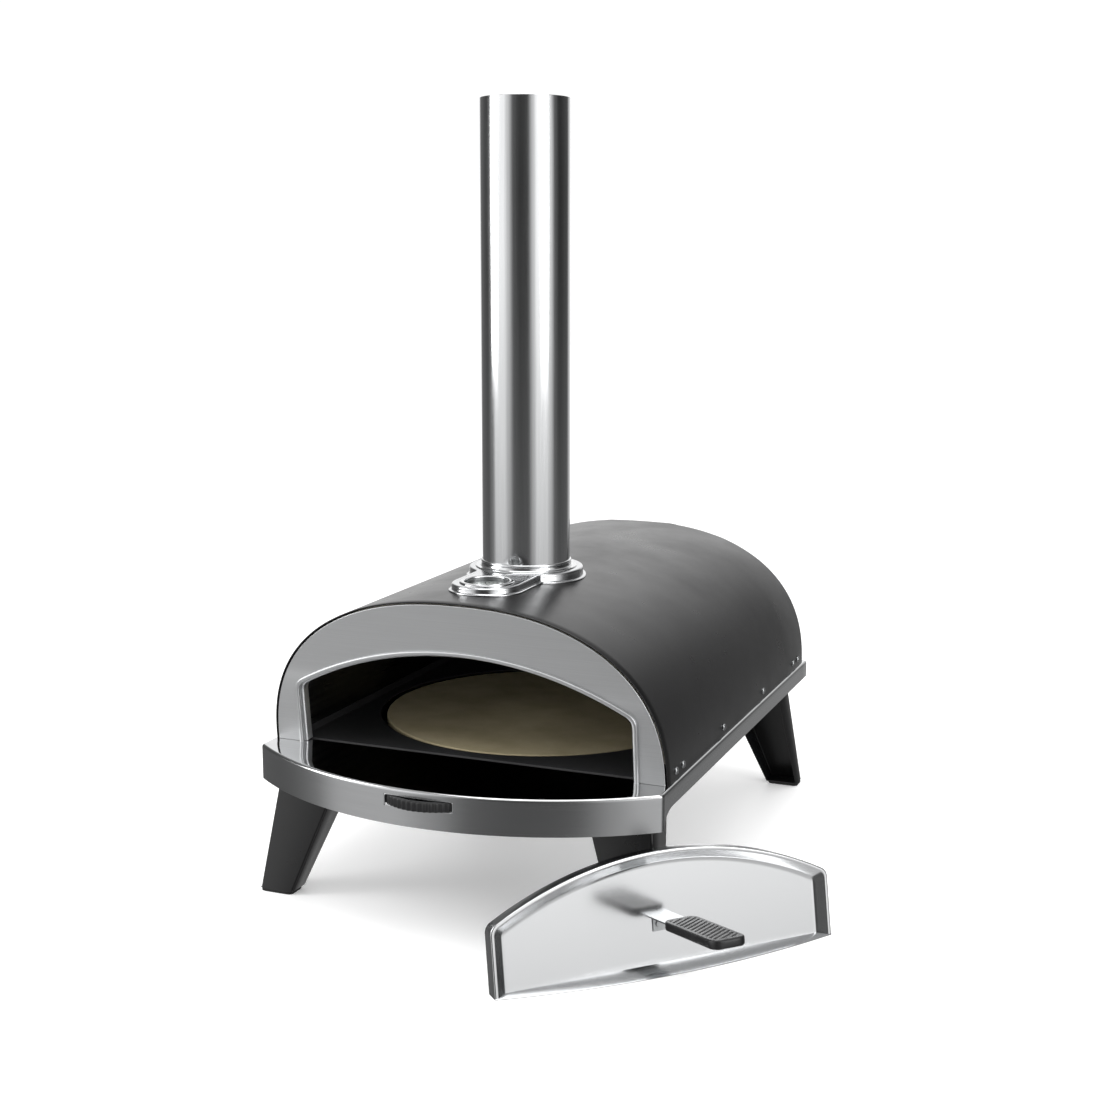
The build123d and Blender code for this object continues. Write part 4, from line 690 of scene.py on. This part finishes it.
def collarOutline(grow):
    # round body and narrower nose joined by straight flanks, with a small arc where flank meets body
    body, nose, fillet = collar["body"] + grow, collar["nose"] + grow, collar["fillet"]
    centreX = nose + fillet
    centreY = flue["y"] - math.sqrt((body + fillet) ** 2 - centreX ** 2)
    tip = math.atan2(centreY - flue["y"], centreX)
    right = roundBend((0, dial["y"]), nose, -90, 0, 40)
    right += [(nose, y) for y in np.linspace(dial["y"], centreY, 14)[1:]]
    right += [(centreX + fillet * math.cos(t), centreY
               + fillet * math.sin(t)) for t in np.linspace(math.pi, math.pi + tip, 10)[1:]]
    right += roundBend((0, flue["y"]), body, math.degrees(tip), 90, 70)[1:]
    right = np.array(right)
    left = right[::-1][1:-1] * [-1, 1]
    return np.concatenate([right, left])


def onVault(x, lift):
    # height of the vault's skin at x, raised by lift
    share = np.clip(np.abs(x) / oven["halfWidth"], 0, 1)
    return oven["trayTop"] + oven["height"] * (1 - share ** oven["power"]) ** (1 / oven["power"]) + lift


def flueCollar():
    # drawn plate: a thin flange lying on the vault, an upright wall, a rounded shoulder and a flat top
    top, r = flue["collarTop"], collar["round"]
    rows = []
    for grow, lift in ((collar["lip"], 0.3), (collar["lip"], 0.9), (collar["lip"] - 0.4, 1.3), (1.0, 1.3)):
        flat = collarOutline(grow)
        rows.append((flat, onVault(flat[:, 0], lift)))
    wall = collarOutline(0)
    foot = onVault(wall[:, 0], 2.0)
    rows += [(collarOutline(0.25), foot - 0.45), (wall, np.minimum(foot, top - r - 0.2)),
             (wall, (top - r) + 0 * foot)]
    rows += [(collarOutline(-r * (1 - math.cos(t))), top - r + r * math.sin(t)
              + 0 * foot) for t in np.linspace(0.25, math.pi / 2, 6)]
    rows += [(collarOutline(-5.0), top + 0 * foot), (collarOutline(-5.0), top - 1 + 0 * foot)]
    rows += [(collarOutline(-3.0), top - 1 + 0 * foot), (collarOutline(-1.2), top - 2.8 + 0 * foot)]
    flat = collarOutline(-1.0)
    rows.append((flat, onVault(flat[:, 0], 0.3)))
    points = np.stack([np.concatenate([flat, z[:, None]], axis=1) for flat, z in rows], axis=1)
    return grid(points, wrapRows=True, wrapColumns=True)


def plateTop(centreY, hole, radius, middleY, towards):
    # flat ring from a round hole out to the collar's edge, along rays from the hole's middle
    turn = np.linspace(0, 2 * math.pi, 240, endpoint=False)
    dx, dy = np.cos(turn), np.sin(turn)
    flank = collar["nose"] - 4.0
    reach = np.full(240, radius - 4.0)
    sideways = flank / np.maximum(np.abs(dx), 1e-9)
    ahead = (middleY - centreY) / np.where(dy * towards > 1e-9, dy, np.inf)
    box = np.where(dy * towards > 1e-9, np.minimum(sideways, np.where(ahead > 0, ahead, 1e9)), 0)
    reach = np.maximum(reach, box)
    top = flue["collarTop"] - 0.03
    rows = [(hole, top), ((hole + reach) / 2, top), (reach, top), (reach, top - 0.9), (hole, top - 0.9)]
    points = [np.stack([r * dx, centreY + r * dy, np.full(240, z)], axis=1) for r, z in rows]
    return grid(np.stack(points, axis=1), wrapRows=True, wrapColumns=True)


neckY = (flue["y"] - collar["body"] + dial["y"] + collar["nose"]) / 2
piece("flueCollar", [flueCollar(), plateTop(flue["y"], 46.6, collar["body"], neckY, -1),
                     plateTop(dial["y"], 23.4, collar["nose"], neckY, 1)],
      "base", collarSteel, ["flue_collar"], sharpAngle=50)

socket = [(45.2, 287), (46.2, 287), (46.2, 313.9), (51.6, 313.9), (52.2, 314.3), (51.6, 315.0),
          (47.4, 315.0),
          (46.4, 315.9), (46.2, 317.4), (45.9, 318.0), (45.4, 318.0), (45.2, 317.4)]
piece("flueSocket", [loop(socket, (0, flue["y"], 0), count=128)], "base", polishedPipe,
      ["flue_socket"])

bezel = [(22.0, 314.0), (27.0, 314.0), (27.0, 314.5), (26.5, 315.2), (25.3, 315.6), (23.2, 315.6),
         (22.3, 315.2),
         (22.0, 314.6)]
piece("dialBezel", [loop(bezel, (0, dial["y"], 0), count=128)], "base", polished,
      ["thermometer_bezel"])
lens = [(0, 309.6), (21.4, 309.6), (21.9, 309.9), (21.9, 310.4), (21.4, 310.7), (14, 310.95), (0, 311.0)]
piece("dialGlass", [solidTurned(lens, (0, dial["y"], 0), count=96)], "base", glassFinish,
      ["thermometer_glass"])


marks = {"count": 26, "every": 5, "sweep": 290, "outer": 20.2, "long": 15.6, "short": 17.6, "bold": 0.42,
         "fine": 0.22, "z": 306.02, "thick": 0.08}


def dialMarks():
    # printed scale: short and long strokes along an arc open towards the cook, and an inner line
    strokes = []
    for k in range(marks["count"]):
        turn = math.radians(marks["sweep"] * (k / (marks["count"] - 1) - 0.5)) + math.pi / 2
        long = k % marks["every"] == 0
        inner, half = (marks["long"], marks["bold"]) if long else (marks["short"], marks["fine"])
        direction, side = np.array([math.cos(turn), math.sin(turn)]), np.array([-math.sin(turn),
                                                                                math.cos(turn)])
        corners = [inner * direction - half * side, inner * direction + half * side,
                   marks["outer"] * direction + half * side, marks["outer"] * direction - half * side]
        lower = np.array([[c[0], c[1] + dial["y"], marks["z"]] for c in corners])
        strokes.append(grid(np.stack([lower, lower + [0, 0, marks["thick"]]], axis=0), wrapColumns=True,
                            caps=True))
    return strokes


piece("dialMarks", dialMarks(), "base", inkBlack)
print("stage: collar and dial")

bolt = {"rows": (23.5, 44.5, 178.5, 330.5, 464.0, 485.5), "z": 157.5, "head": 3.6, "rise": 2.4,
        "shank": 2.0,
        "seat": 206.9, "start": 202.0}


def dome(radius, rise):
    # rounded head with a small flat edge, as (radius, height) from its seat to its crown
    return [(0, 0), (radius, 0), (radius, rise * 0.2)] + [
        (radius * math.cos(t), rise * 0.2 + rise * 0.8 * math.sin(t)) for t in np.linspace(0.2, math.pi / 2,
                                                                                           8)]


def turned(parts, side, seat, y, z):
    profile = [(r, side * (seat + h)) for r, h in parts]
    return solidTurned(profile, (0, y, z), axis="x", count=24)


bolts = []
for y in bolt["rows"]:
    for side in (-1, 1):
        bolts.append(turned(dome(bolt["head"], bolt["rise"]), side, bolt["seat"], y, bolt["z"]))
        shank = [(0, bolt["start"]), (bolt["shank"], bolt["start"]), (bolt["shank"], bolt["seat"]),
                 (0, bolt["seat"])]
        bolts.append(solidTurned([(r, side * h) for r, h in shank], (0, y, bolt["z"]), axis="x", count=16))
piece("sideBolts", bolts, "base", zinc, ["side_bolts"])

screw = {"count": 7, "inset": 6, "seat": 512.5, "start": 508.8, "head": 3.6, "rise": 2.0, "shank": 2.0}
screwHeads = []
for step in range(screw["count"]):
    turn = math.pi * (step + 0.5) / screw["count"]
    reach = math.copysign(abs(math.cos(turn)) ** (2 / oven["power"]),
                          math.cos(turn)) * (oven["halfWidth"] - screw["inset"])
    z = oven["trayTop"] + (oven["height"] - screw["inset"]) * math.sin(turn) ** (2 / oven["power"])
    screwHeads.append(solidTurned([(r, screw["seat"] + h) for r, h in dome(screw["head"], screw["rise"])],
                                  (reach, 0, z), axis="y", count=24))
    shank = [(0, screw["start"]), (screw["shank"], screw["start"]), (screw["shank"], screw["seat"]),
             (0, screw["seat"])]
    screwHeads.append(solidTurned(shank, (reach, 0, z), axis="y", count=16))
piece("rearScrews", screwHeads, "base", zinc, ["rear_screws"])
print("stage: bolts")

leg = {"frontY": -36.4, "rearY": 512.8, "outerX": 209.1, "footWidth": 36.0, "footDepth": 23.4, "top": 126.0,
       "foot": 3.0, "outerSlope": 0.11, "innerSlope": 0.363, "webSlope": 0.208, "freeSlope": 0.37,
       "sheet": 1.2,
       "bend": 2.6, "pinZ": 120.0, "pinReach": 44.4}


def legPan(side, end):
    # channel of bent sheet: its section's corners slide along straight lines as it rises
    height = np.concatenate([[leg["foot"]], np.linspace(leg["foot"] + 1.5, leg["top"], 24)])
    outer = leg["outerX"] - leg["outerSlope"] * height
    inner = leg["outerX"] - leg["footWidth"] - leg["innerSlope"] * height
    web = leg["frontY"] + leg["webSlope"] * height
    free = leg["frontY"] + leg["footDepth"] + leg["freeSlope"] * height
    bend, sheet = leg["bend"], leg["sheet"]
    arc = np.linspace(0, math.pi / 2, 6)
    # each entry: at outer side, at web, offset inwards in x, offset inwards in y
    section = [(0, 0, 0.0, 0.4)] + [(0, 1, bend * (1 - math.cos(t)), bend * (1 - math.sin(t))) for t in arc]
    section += [(1, 1, bend * (1 - math.sin(t)),
                 bend * (1 - math.cos(t))) for t in arc] + [(1, 0, 0.0, 0.4), (1, 0, 0.3, 0.0)]
    section += [(1, 0, sheet - 0.3, 0.0), (1, 0, sheet, 0.4)]
    section += [(1, 1, bend - (bend - sheet) * math.sin(t),
                 bend - (bend - sheet) * math.cos(t)) for t in arc[::-1]]
    section += [(0, 1, bend - (bend - sheet) * math.cos(t),
                 bend - (bend - sheet) * math.sin(t)) for t in arc[::-1]]
    section += [(0, 0, sheet, 0.4), (0, 0, sheet - 0.3, 0.0), (0, 0, 0.3, 0.0)]
    section = np.array(section)
    atOuter, atWeb, dx, dy = section.T
    x = np.where(atOuter > 0, outer[:, None] - dx, inner[:, None] + dx)
    y = np.where(atWeb > 0, web[:, None] + dy, free[:, None] - dy)
    if end > 0:
        y = leg["frontY"] + leg["rearY"] - y
    z = np.broadcast_to(height[:, None], x.shape)
    wallPart = grid(np.stack([side * x, y, z], axis=-1), wrapColumns=True, caps=True)
    plate = []
    for z in (leg["foot"], leg["foot"] + sheet):
        o, i = (leg["outerX"] - leg["outerSlope"] * z - 0.3,
                leg["outerX"] - leg["footWidth"] - leg["innerSlope"] * z + 0.3)
        w, f = (leg["frontY"] + leg["webSlope"] * z + 0.3, leg["frontY"] + leg["footDepth"]
                + leg["freeSlope"] * z - 0.3)
        corners = np.array([(i, w), (o, w), (o, f), (i, f)])
        if end > 0:
            corners[:, 1] = leg["frontY"] + leg["rearY"] - corners[:, 1]
        plate.append([(side * cx, cy, z) for cx, cy in corners])
    return [wallPart, grid(np.array(plate), wrapColumns=True, caps=True)]


pad = {"x": 191.1, "reach": 24.7, "squareness": 0.32, "count": 72}


def footPad(side, end):
    # moulded pad: rounded rectangle, slightly wider in the middle, with a shallow groove round it
    half, deep = leg["footWidth"] / 2, leg["footDepth"] / 2
    turn = np.linspace(0, 2 * math.pi, pad["count"], endpoint=False)
    power = pad["squareness"]
    x = np.sign(np.cos(turn)) * np.abs(np.cos(turn)) ** power
    y = np.sign(np.sin(turn)) * np.abs(np.sin(turn)) ** power
    section = [(0.0, 0.0), (0.9, 0.0), (0.975, 0.0), (0.995, 0.5), (1.0, 1.2), (0.985, 1.6), (1.0, 2.0),
               (0.99, 2.7), (0.96, 3.0),
               (0.0, 3.0)]
    centreY = -pad["reach"] if end < 0 else leg["frontY"] + leg["rearY"] + pad["reach"]
    rows = [np.stack([side * pad["x"] + share * half * x, centreY + share * deep * y,
                      np.full(pad["count"], z)], axis=1)
            for share, z in section]
    return grid(np.stack(rows, axis=1), wrapRows=True)


pin = {"radius": 3.0, "rise": 1.6, "play": 0.2, "seat": 0.3}
pinParts = []
for corner, side, end in (("front_left", -1, -1), ("front_right", 1, -1), ("rear_left", -1, 1),
                          ("rear_right", 1, 1)):
    body = corner + "_leg"
    label = corner.title().replace("_", "")
    piece("leg" + label, legPan(side, end), body, powder, ["leg_" + corner])
    piece("foot" + label, [footPad(side, end)], body, rubber, ["foot_" + corner])
    pinY = leg["frontY"] + leg["pinReach"]
    pinY = pinY if end < 0 else leg["frontY"] + leg["rearY"] - pinY
    outerX = leg["outerX"] - leg["outerSlope"] * leg["pinZ"]
    innerX = leg["outerX"] - leg["footWidth"] - leg["innerSlope"] * leg["pinZ"]
    near, far = innerX - pin["play"], outerX + pin["play"]
    shank = [(0, near), (pin["radius"], near), (pin["radius"], far), (0, far)]
    head = dome(pin["radius"], pin["rise"])
    pinParts.append(solidTurned([(r, side * h) for r, h in shank], (0, pinY, leg["pinZ"]), axis="x",
                                count=24))
    pinParts.append(turned(head, side, outerX + pin["seat"], pinY, leg["pinZ"]))
    pinParts.append(turned([(r, -h) for r, h in head], side, innerX - pin["seat"], pinY, leg["pinZ"]))
piece("legPins", pinParts, "base", zinc, ["leg_pins"])
print("stage: legs")

handle = {"half": 36.0, "z": 178.0, "plateY": 514.0, "reach": 24.0, "radius": 3.5, "bend": 7.0}


def drawerHandle():
    # round bar: out from the plate, one bend, across and back
    half, bend, far, near = (handle["half"], handle["bend"], handle["plateY"] + handle["reach"],
                             handle["plateY"])
    path = [(-half, near), (-half, near + 8)] + roundBend((bend - half, far - bend), bend, 180, 90, 10)
    path += [(x, far) for x in np.linspace(bend - half, half - bend, 8)[1:-1]]
    path += roundBend((half - bend, far - bend), bend, 90, 0, 10) + [(half, near + 8), (half, near)]
    return tube([(x, y, handle["z"]) for x, y in path], handle["radius"], count=24)


piece("drawerHandle", [drawerHandle()], "drawer", zinc, ["drawer_handle"])
knob = [(0, 514.0), (4.0, 514.0), (4.0, 521.0), (5.0, 522.2), (10.2, 522.2), (11.0, 523.0), (11.0, 528.0),
        (10.4, 530.6), (8.6, 532.3), (6.0, 533.0), (0, 533.0)]
knobLow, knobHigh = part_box("hatch_knob")
knobZ = (knobLow.z + knobHigh.z) * 500
piece("hatchKnob", [solidTurned(knob, (0, 0, knobZ), axis="y", count=64)], "hatch",
      plastic,
      ["hatch_knob"])
print("stage: rear fittings")

door = {"x": 218.7, "y": -42.1, "turn": math.radians(46.5), "tilt": math.radians(10.0), "inset": 8.5,
        "depth": 14.0,
        "rim": 4.0, "slope": 8.0, "recess": 7.5, "sheet": 1.2, "bow": 18.0}


def onDoor(x, v, w):
    # door's own across, up and out to the oven's x, y, z
    turn, tilt = door["turn"], door["tilt"]
    x, v, w = np.broadcast_arrays(np.asarray(x, float), np.asarray(v, float), np.asarray(w, float))
    outX, outY, outZ = math.sin(turn) * math.cos(tilt), -math.cos(turn) * math.cos(tilt), math.sin(tilt)
    upX, upY, upZ = -math.sin(turn) * math.sin(tilt), math.cos(turn) * math.sin(tilt), math.cos(tilt)
    return np.stack([door["x"] + x * math.cos(turn) + v * upX + w * outX,
                     door["y"] + x * math.sin(turn) + v * upY + w * outY,
                     np.maximum(v * upZ + w * outZ, 0.0)], axis=-1)


def doorShell():
    # dished pan: a section of wall, rolled rim, sloped band and recessed panel, carried round the arch
    depth, rim, slope, sheet = door["depth"], door["rim"], door["slope"], door["sheet"]
    low = depth - door["recess"]
    section = [(0.0, 0.0), (0.0, depth - 1.4)] + [(1.4 * (1 - math.cos(t)), depth - 1.4 + 1.4 * math.sin(t))
                                                for t in np.linspace(0.3, math.pi / 2, 5)]
    section += [(rim - 1.2, depth), (rim - 0.5, depth - 0.15), (rim, depth - 0.6)]
    section += [(rim + slope * t, depth - 0.6 - (door["recess"] - 0.6) * t) for t in (0.25, 0.5, 0.75)]
    section += [(rim + slope - 0.4, low + 0.3), (rim + slope + 0.8, low), (rim + slope + 3, low)]
    section += [(rim + slope + 3, low - sheet), (rim + slope, low - sheet),
                (rim - 0.4, depth - sheet - 0.4),
                (2.6, depth - sheet), (sheet, depth - 2.6), (sheet, 0.0)]
    rows = []
    for inset, w in section:
        flat = mouthOutline(door["inset"] + inset, foot=-w * math.tan(door["tilt"]) - 0.01, count=221)
        rows.append(onDoor(flat[:, 0], flat[:, 1], w))
    band = grid(np.stack(rows, axis=1), wrapColumns=True, caps=True)
    inset = door["inset"] + rim + slope + 2.0
    edge = mouthOutline(inset, foot=0.0, count=801)
    half = edge[:, 0].max()
    x = half * np.sin(np.linspace(-math.pi / 2, math.pi / 2, 121))
    x[0], x[-1] = -half + 1e-3, half - 1e-3
    order = np.argsort(edge[:, 0], kind="stable")
    top = np.interp(x, edge[order, 0], edge[order, 1])
    share = np.linspace(0, 1, 12)
    foot = -low * math.tan(door["tilt"])
    height = foot + (top[:, None] - foot) * share[None, :]
    face = onDoor(x[:, None], height, low - 0.02)
    back = onDoor(x[:, None], height, low - sheet + 0.02)[:, ::-1]
    plate = grid(np.concatenate([face, back], axis=1), wrapColumns=True, caps=True)
    return [band, plate]


def doorLedge():
    # foot of the door: a strip on the ground whose front edge bows out, its nose rounded
    half = mouth["halfWidth"] - door["inset"]
    near = door["depth"] / math.cos(door["tilt"])
    radius = (half ** 2 + door["bow"] ** 2) / (2 * door["bow"])
    x = np.linspace(-half, half, 121)
    front = near + door["bow"] - radius + np.sqrt(radius ** 2 - x ** 2)
    section = [(0, 0, 0), (1, -0.5, 0), (1, 0, 0.35), (1, 0, 0.85), (1, -0.5, 1.2), (0, 0, 1.2)]
    turn = door["turn"]
    rows = []
    for share, extra, z in section:
        out = share * front + extra
        rows.append(np.stack([door["x"] + x * math.cos(turn) + out * math.sin(turn),
                              door["y"] + x * math.sin(turn) - out * math.cos(turn), np.full(len(x), z)],
                              axis=1))
    return grid(np.stack(rows, axis=1), wrapColumns=True, caps=True)


piece("doorPan", doorShell() + [doorLedge()], "door", doorSteel, ["door_pan"],
      sharpAngle=50)

grip = {"start": 33.5, "length": 94.0, "half": 17.0, "thick": 4.0, "corner": 10.0, "edge": 2.0,
        "middle": 41.4,
        "groove": 0.7, "pitch": 6.5, "slant": 0.7}


def doorGrip():
    # slab whose outline has round corners; diagonal grooves are a rounded wave taken off both faces
    reach = np.concatenate([[0, 0.35, 1.0], np.linspace(2, grip["length"] - 2, 150),
                            grip["length"] - np.array([1.0, 0.35, 0])])
    fromEnd = np.minimum(reach, grip["length"] - reach)
    bend = np.clip(grip["corner"] - fromEnd, 0, grip["corner"])
    half = grip["half"] - grip["corner"] + np.sqrt(grip["corner"] ** 2 - bend ** 2)
    thick = grip["thick"] - grip["edge"] + np.sqrt(grip["edge"] ** 2 - np.clip(grip["edge"] - fromEnd, 0,
                                                                               grip["edge"]) ** 2)
    across = np.linspace(-1, 1, 61)
    edge = grip["edge"]
    flat = (half - edge)[:, None] * across[None, :]
    depth = np.clip((half[:, None] - 3.5 - np.abs(flat)) / 2, 0, 1) * np.clip((fromEnd[:, None] - 5) / 3, 0,
                                                                              1)
    wave = np.clip(np.cos(2 * math.pi * (reach[:, None]
                                         + grip["slant"] * flat) / grip["pitch"]) * 1.6 - 0.4, 0, 1)
    height = thick[:, None] - grip["groove"] * depth * wave
    arc = np.linspace(math.pi / 2, -math.pi / 2, 11)[1:-1]
    sideX = (half - edge)[:, None] + edge * np.cos(arc)[None, :]
    sideV = (thick[:, None] - edge) * np.sign(np.sin(arc))[None, :] + edge * np.sin(arc)[None, :]
    sideV = np.where(np.abs(np.sin(arc))[None, :] < 1e-9, 0, sideV)
    x = np.concatenate([flat, sideX, flat[:, ::-1], -sideX[:, ::-1]], axis=1)
    v = np.concatenate([height, sideV, -height[:, ::-1], sideV[:, ::-1]], axis=1)
    w = np.broadcast_to((grip["start"] + reach)[:, None], x.shape)
    return grid(onDoor(x, grip["middle"] + v, w), wrapColumns=True, caps=True)


piece("doorGrip", [doorGrip()], "door", plastic, ["door_grip"])
print("stage: door")

studio = {"floorSize": 9.0, "floor": "#f6f6f6", "floorRoughness": 0.3, "floorGlow": 0.2, "world": 1.05,
          "ceiling": 0.55,
          "ceilingFrom": 0.45, "ceilingTo": 0.85, "ground": 0.17, "groundShare": 0.58, "groundFrom": 0.0,
          "groundTo": -0.2}


def floorFinish():
    material, tree, shader, place = startMaterial("paleFloor", {
        "Base Color": linear(studio["floor"]), "Roughness": studio["floorRoughness"], "IOR": 1.4,
        "Specular IOR Level": 0.15,
        "Emission Color": (1, 1, 1, 1), "Emission Strength": studio["floorGlow"]})
    fine = addNode(tree, "ShaderNodeTexNoise", {"Scale": 30.0, "Detail": 2.0}, {"Vector": place})
    tree.links.new(spread(tree, fine.outputs["Fac"], 0.33, 0.38), shader.inputs["Roughness"])
    return material


size = studio["floorSize"]
floorMesh = bpy.data.meshes.new("floor")
floorMesh.from_pydata([(-size, -size, 0), (size, -size, 0), (size, size, 0), (-size, size, 0)], [],
                      [(0, 1, 2, 3)])
floor = bpy.data.objects.new("floor", floorMesh)
bpy.context.scene.collection.objects.link(floor)
floorMesh.materials.append(floorFinish())
floor.visible_glossy = False

# banks of light and black cloth that polished metal sees: (degrees round the oven from +X, brightness)
surround = [(-180, 0.06), (-163, 0.25), (-150, 1.25), (-125, 1.3), (-112, 0.75), (-97, 0.1), (-80, 0.04),
            (-62, 0.06),
            (-46, 0.8), (-38, 1.4), (-12, 1.35), (0, 0.9), (14, 0.12), (30, 0.03), (66, 0.08), (84, 0.8),
            (100, 1.25),
            (125, 1.1), (143, 0.15), (180, 0.06)]


def studioWorld():
    # plain white for the eye and for soft light; banded for reflections, with a bright ceiling
    world = bpy.data.worlds.new("studio")
    world.use_nodes = True
    tree = world.node_tree
    out = tree.nodes["World Output"]
    plain = tree.nodes["Background"]
    plain.inputs["Color"].default_value = (1, 1, 1, 1)
    plain.inputs["Strength"].default_value = studio["world"]
    direction = addNode(tree, "ShaderNodeTexCoord").outputs["Generated"]
    parts = addNode(tree, "ShaderNodeSeparateXYZ", links={"Vector": direction})
    azimuth = addNode(tree, "ShaderNodeMath", {"operation": "ARCTAN2"})
    tree.links.new(parts.outputs["Y"], azimuth.inputs[0])
    tree.links.new(parts.outputs["X"], azimuth.inputs[1])
    share = spread(tree, azimuth.outputs["Value"], 0.0, 1.0, -math.pi, math.pi)
    bands = addNode(tree, "ShaderNodeValToRGB", links={"Fac": share})
    bands.color_ramp.interpolation = "EASE"
    elements = bands.color_ramp.elements
    for spot, (angle, level) in zip((elements[0], elements[1]), (surround[0], surround[-1])):
        spot.position, spot.color = (angle + 180) / 360, (level, level, level, 1)
    for angle, level in surround[1:-1]:
        elements.new((angle + 180) / 360).color = (level, level, level, 1)
    upper = spread(tree, parts.outputs["Z"], 0.0, 1.0, studio["ceilingFrom"], studio["ceilingTo"])
    mixed = addNode(tree, "ShaderNodeMix", {"data_type": "RGBA"})
    tree.links.new(upper, mixed.inputs[0])
    tree.links.new(bands.outputs["Color"], mixed.inputs[6])
    mixed.inputs[7].default_value = (studio["ceiling"], studio["ceiling"], studio["ceiling"], 1)
    lower = spread(tree, parts.outputs["Z"], 0.0, studio["groundShare"], studio["groundFrom"],
                   studio["groundTo"])
    below = addNode(tree, "ShaderNodeMix", {"data_type": "RGBA"})
    tree.links.new(lower, below.inputs[0])
    tree.links.new(mixed.outputs[2], below.inputs[6])
    below.inputs[7].default_value = (studio["ground"], studio["ground"], studio["ground"], 1)
    seen = addNode(tree, "ShaderNodeBackground", links={"Color": below.outputs[2]})
    glossy = addNode(tree, "ShaderNodeLightPath").outputs["Is Glossy Ray"]
    pick = addNode(tree, "ShaderNodeMixShader", links={"Fac": glossy})
    tree.links.new(plain.outputs["Background"], pick.inputs[1])
    tree.links.new(seen.outputs["Background"], pick.inputs[2])
    tree.links.new(pick.outputs["Shader"], out.inputs["Surface"])
    return world


bpy.context.scene.world = studioWorld()
bpy.context.scene.view_settings.view_transform = "Standard"


def softbox(name, place, target, width, height, watts, mirrored=True):
    light = bpy.data.lights.new(name, "AREA")
    light.shape, light.size, light.size_y, light.energy = "RECTANGLE", width, height, watts
    lamp = bpy.data.objects.new(name, light)
    lamp.location = place
    lamp.rotation_euler = (Vector(target) - Vector(place)).to_track_quat("-Z", "Y").to_euler()
    lamp.visible_camera, lamp.visible_glossy = False, mirrored
    bpy.context.scene.collection.objects.link(lamp)


softbox("overhead", (0.1, -0.2, 2.4), (0, 0, 0.2), 1.8, 1.8, 24)
softbox("leftBank", (-2.0, -1.0, 1.2), (0, 0, 0.3), 0.9, 1.8, 22)
softbox("mouthFill", (0.35, -1.5, 0.4), (-0.1, 0, 0.2), 0.6, 0.3, 4, mirrored=False)
softbox("rightBank", (2.1, -0.7, 1.2), (0, 0, 0.3), 0.9, 1.8, 16)

view = {"place": (660.0, -1391.4, 631.9), "yaw": 22.268, "pitch": 10.203, "lens": 54.46}
camera = bpy.data.cameras.new("camera")
camera.lens, camera.sensor_width, camera.clip_end = view["lens"], 36.0, 60.0
eye = bpy.data.objects.new("camera", camera)
eye.location = Vector(np.array(view["place"]) / 1000 + shift)
eye.rotation_euler = (math.radians(90 - view["pitch"]), 0, math.radians(view["yaw"]))
bpy.context.scene.collection.objects.link(eye)
bpy.context.scene.camera = eye
print("stage: studio")
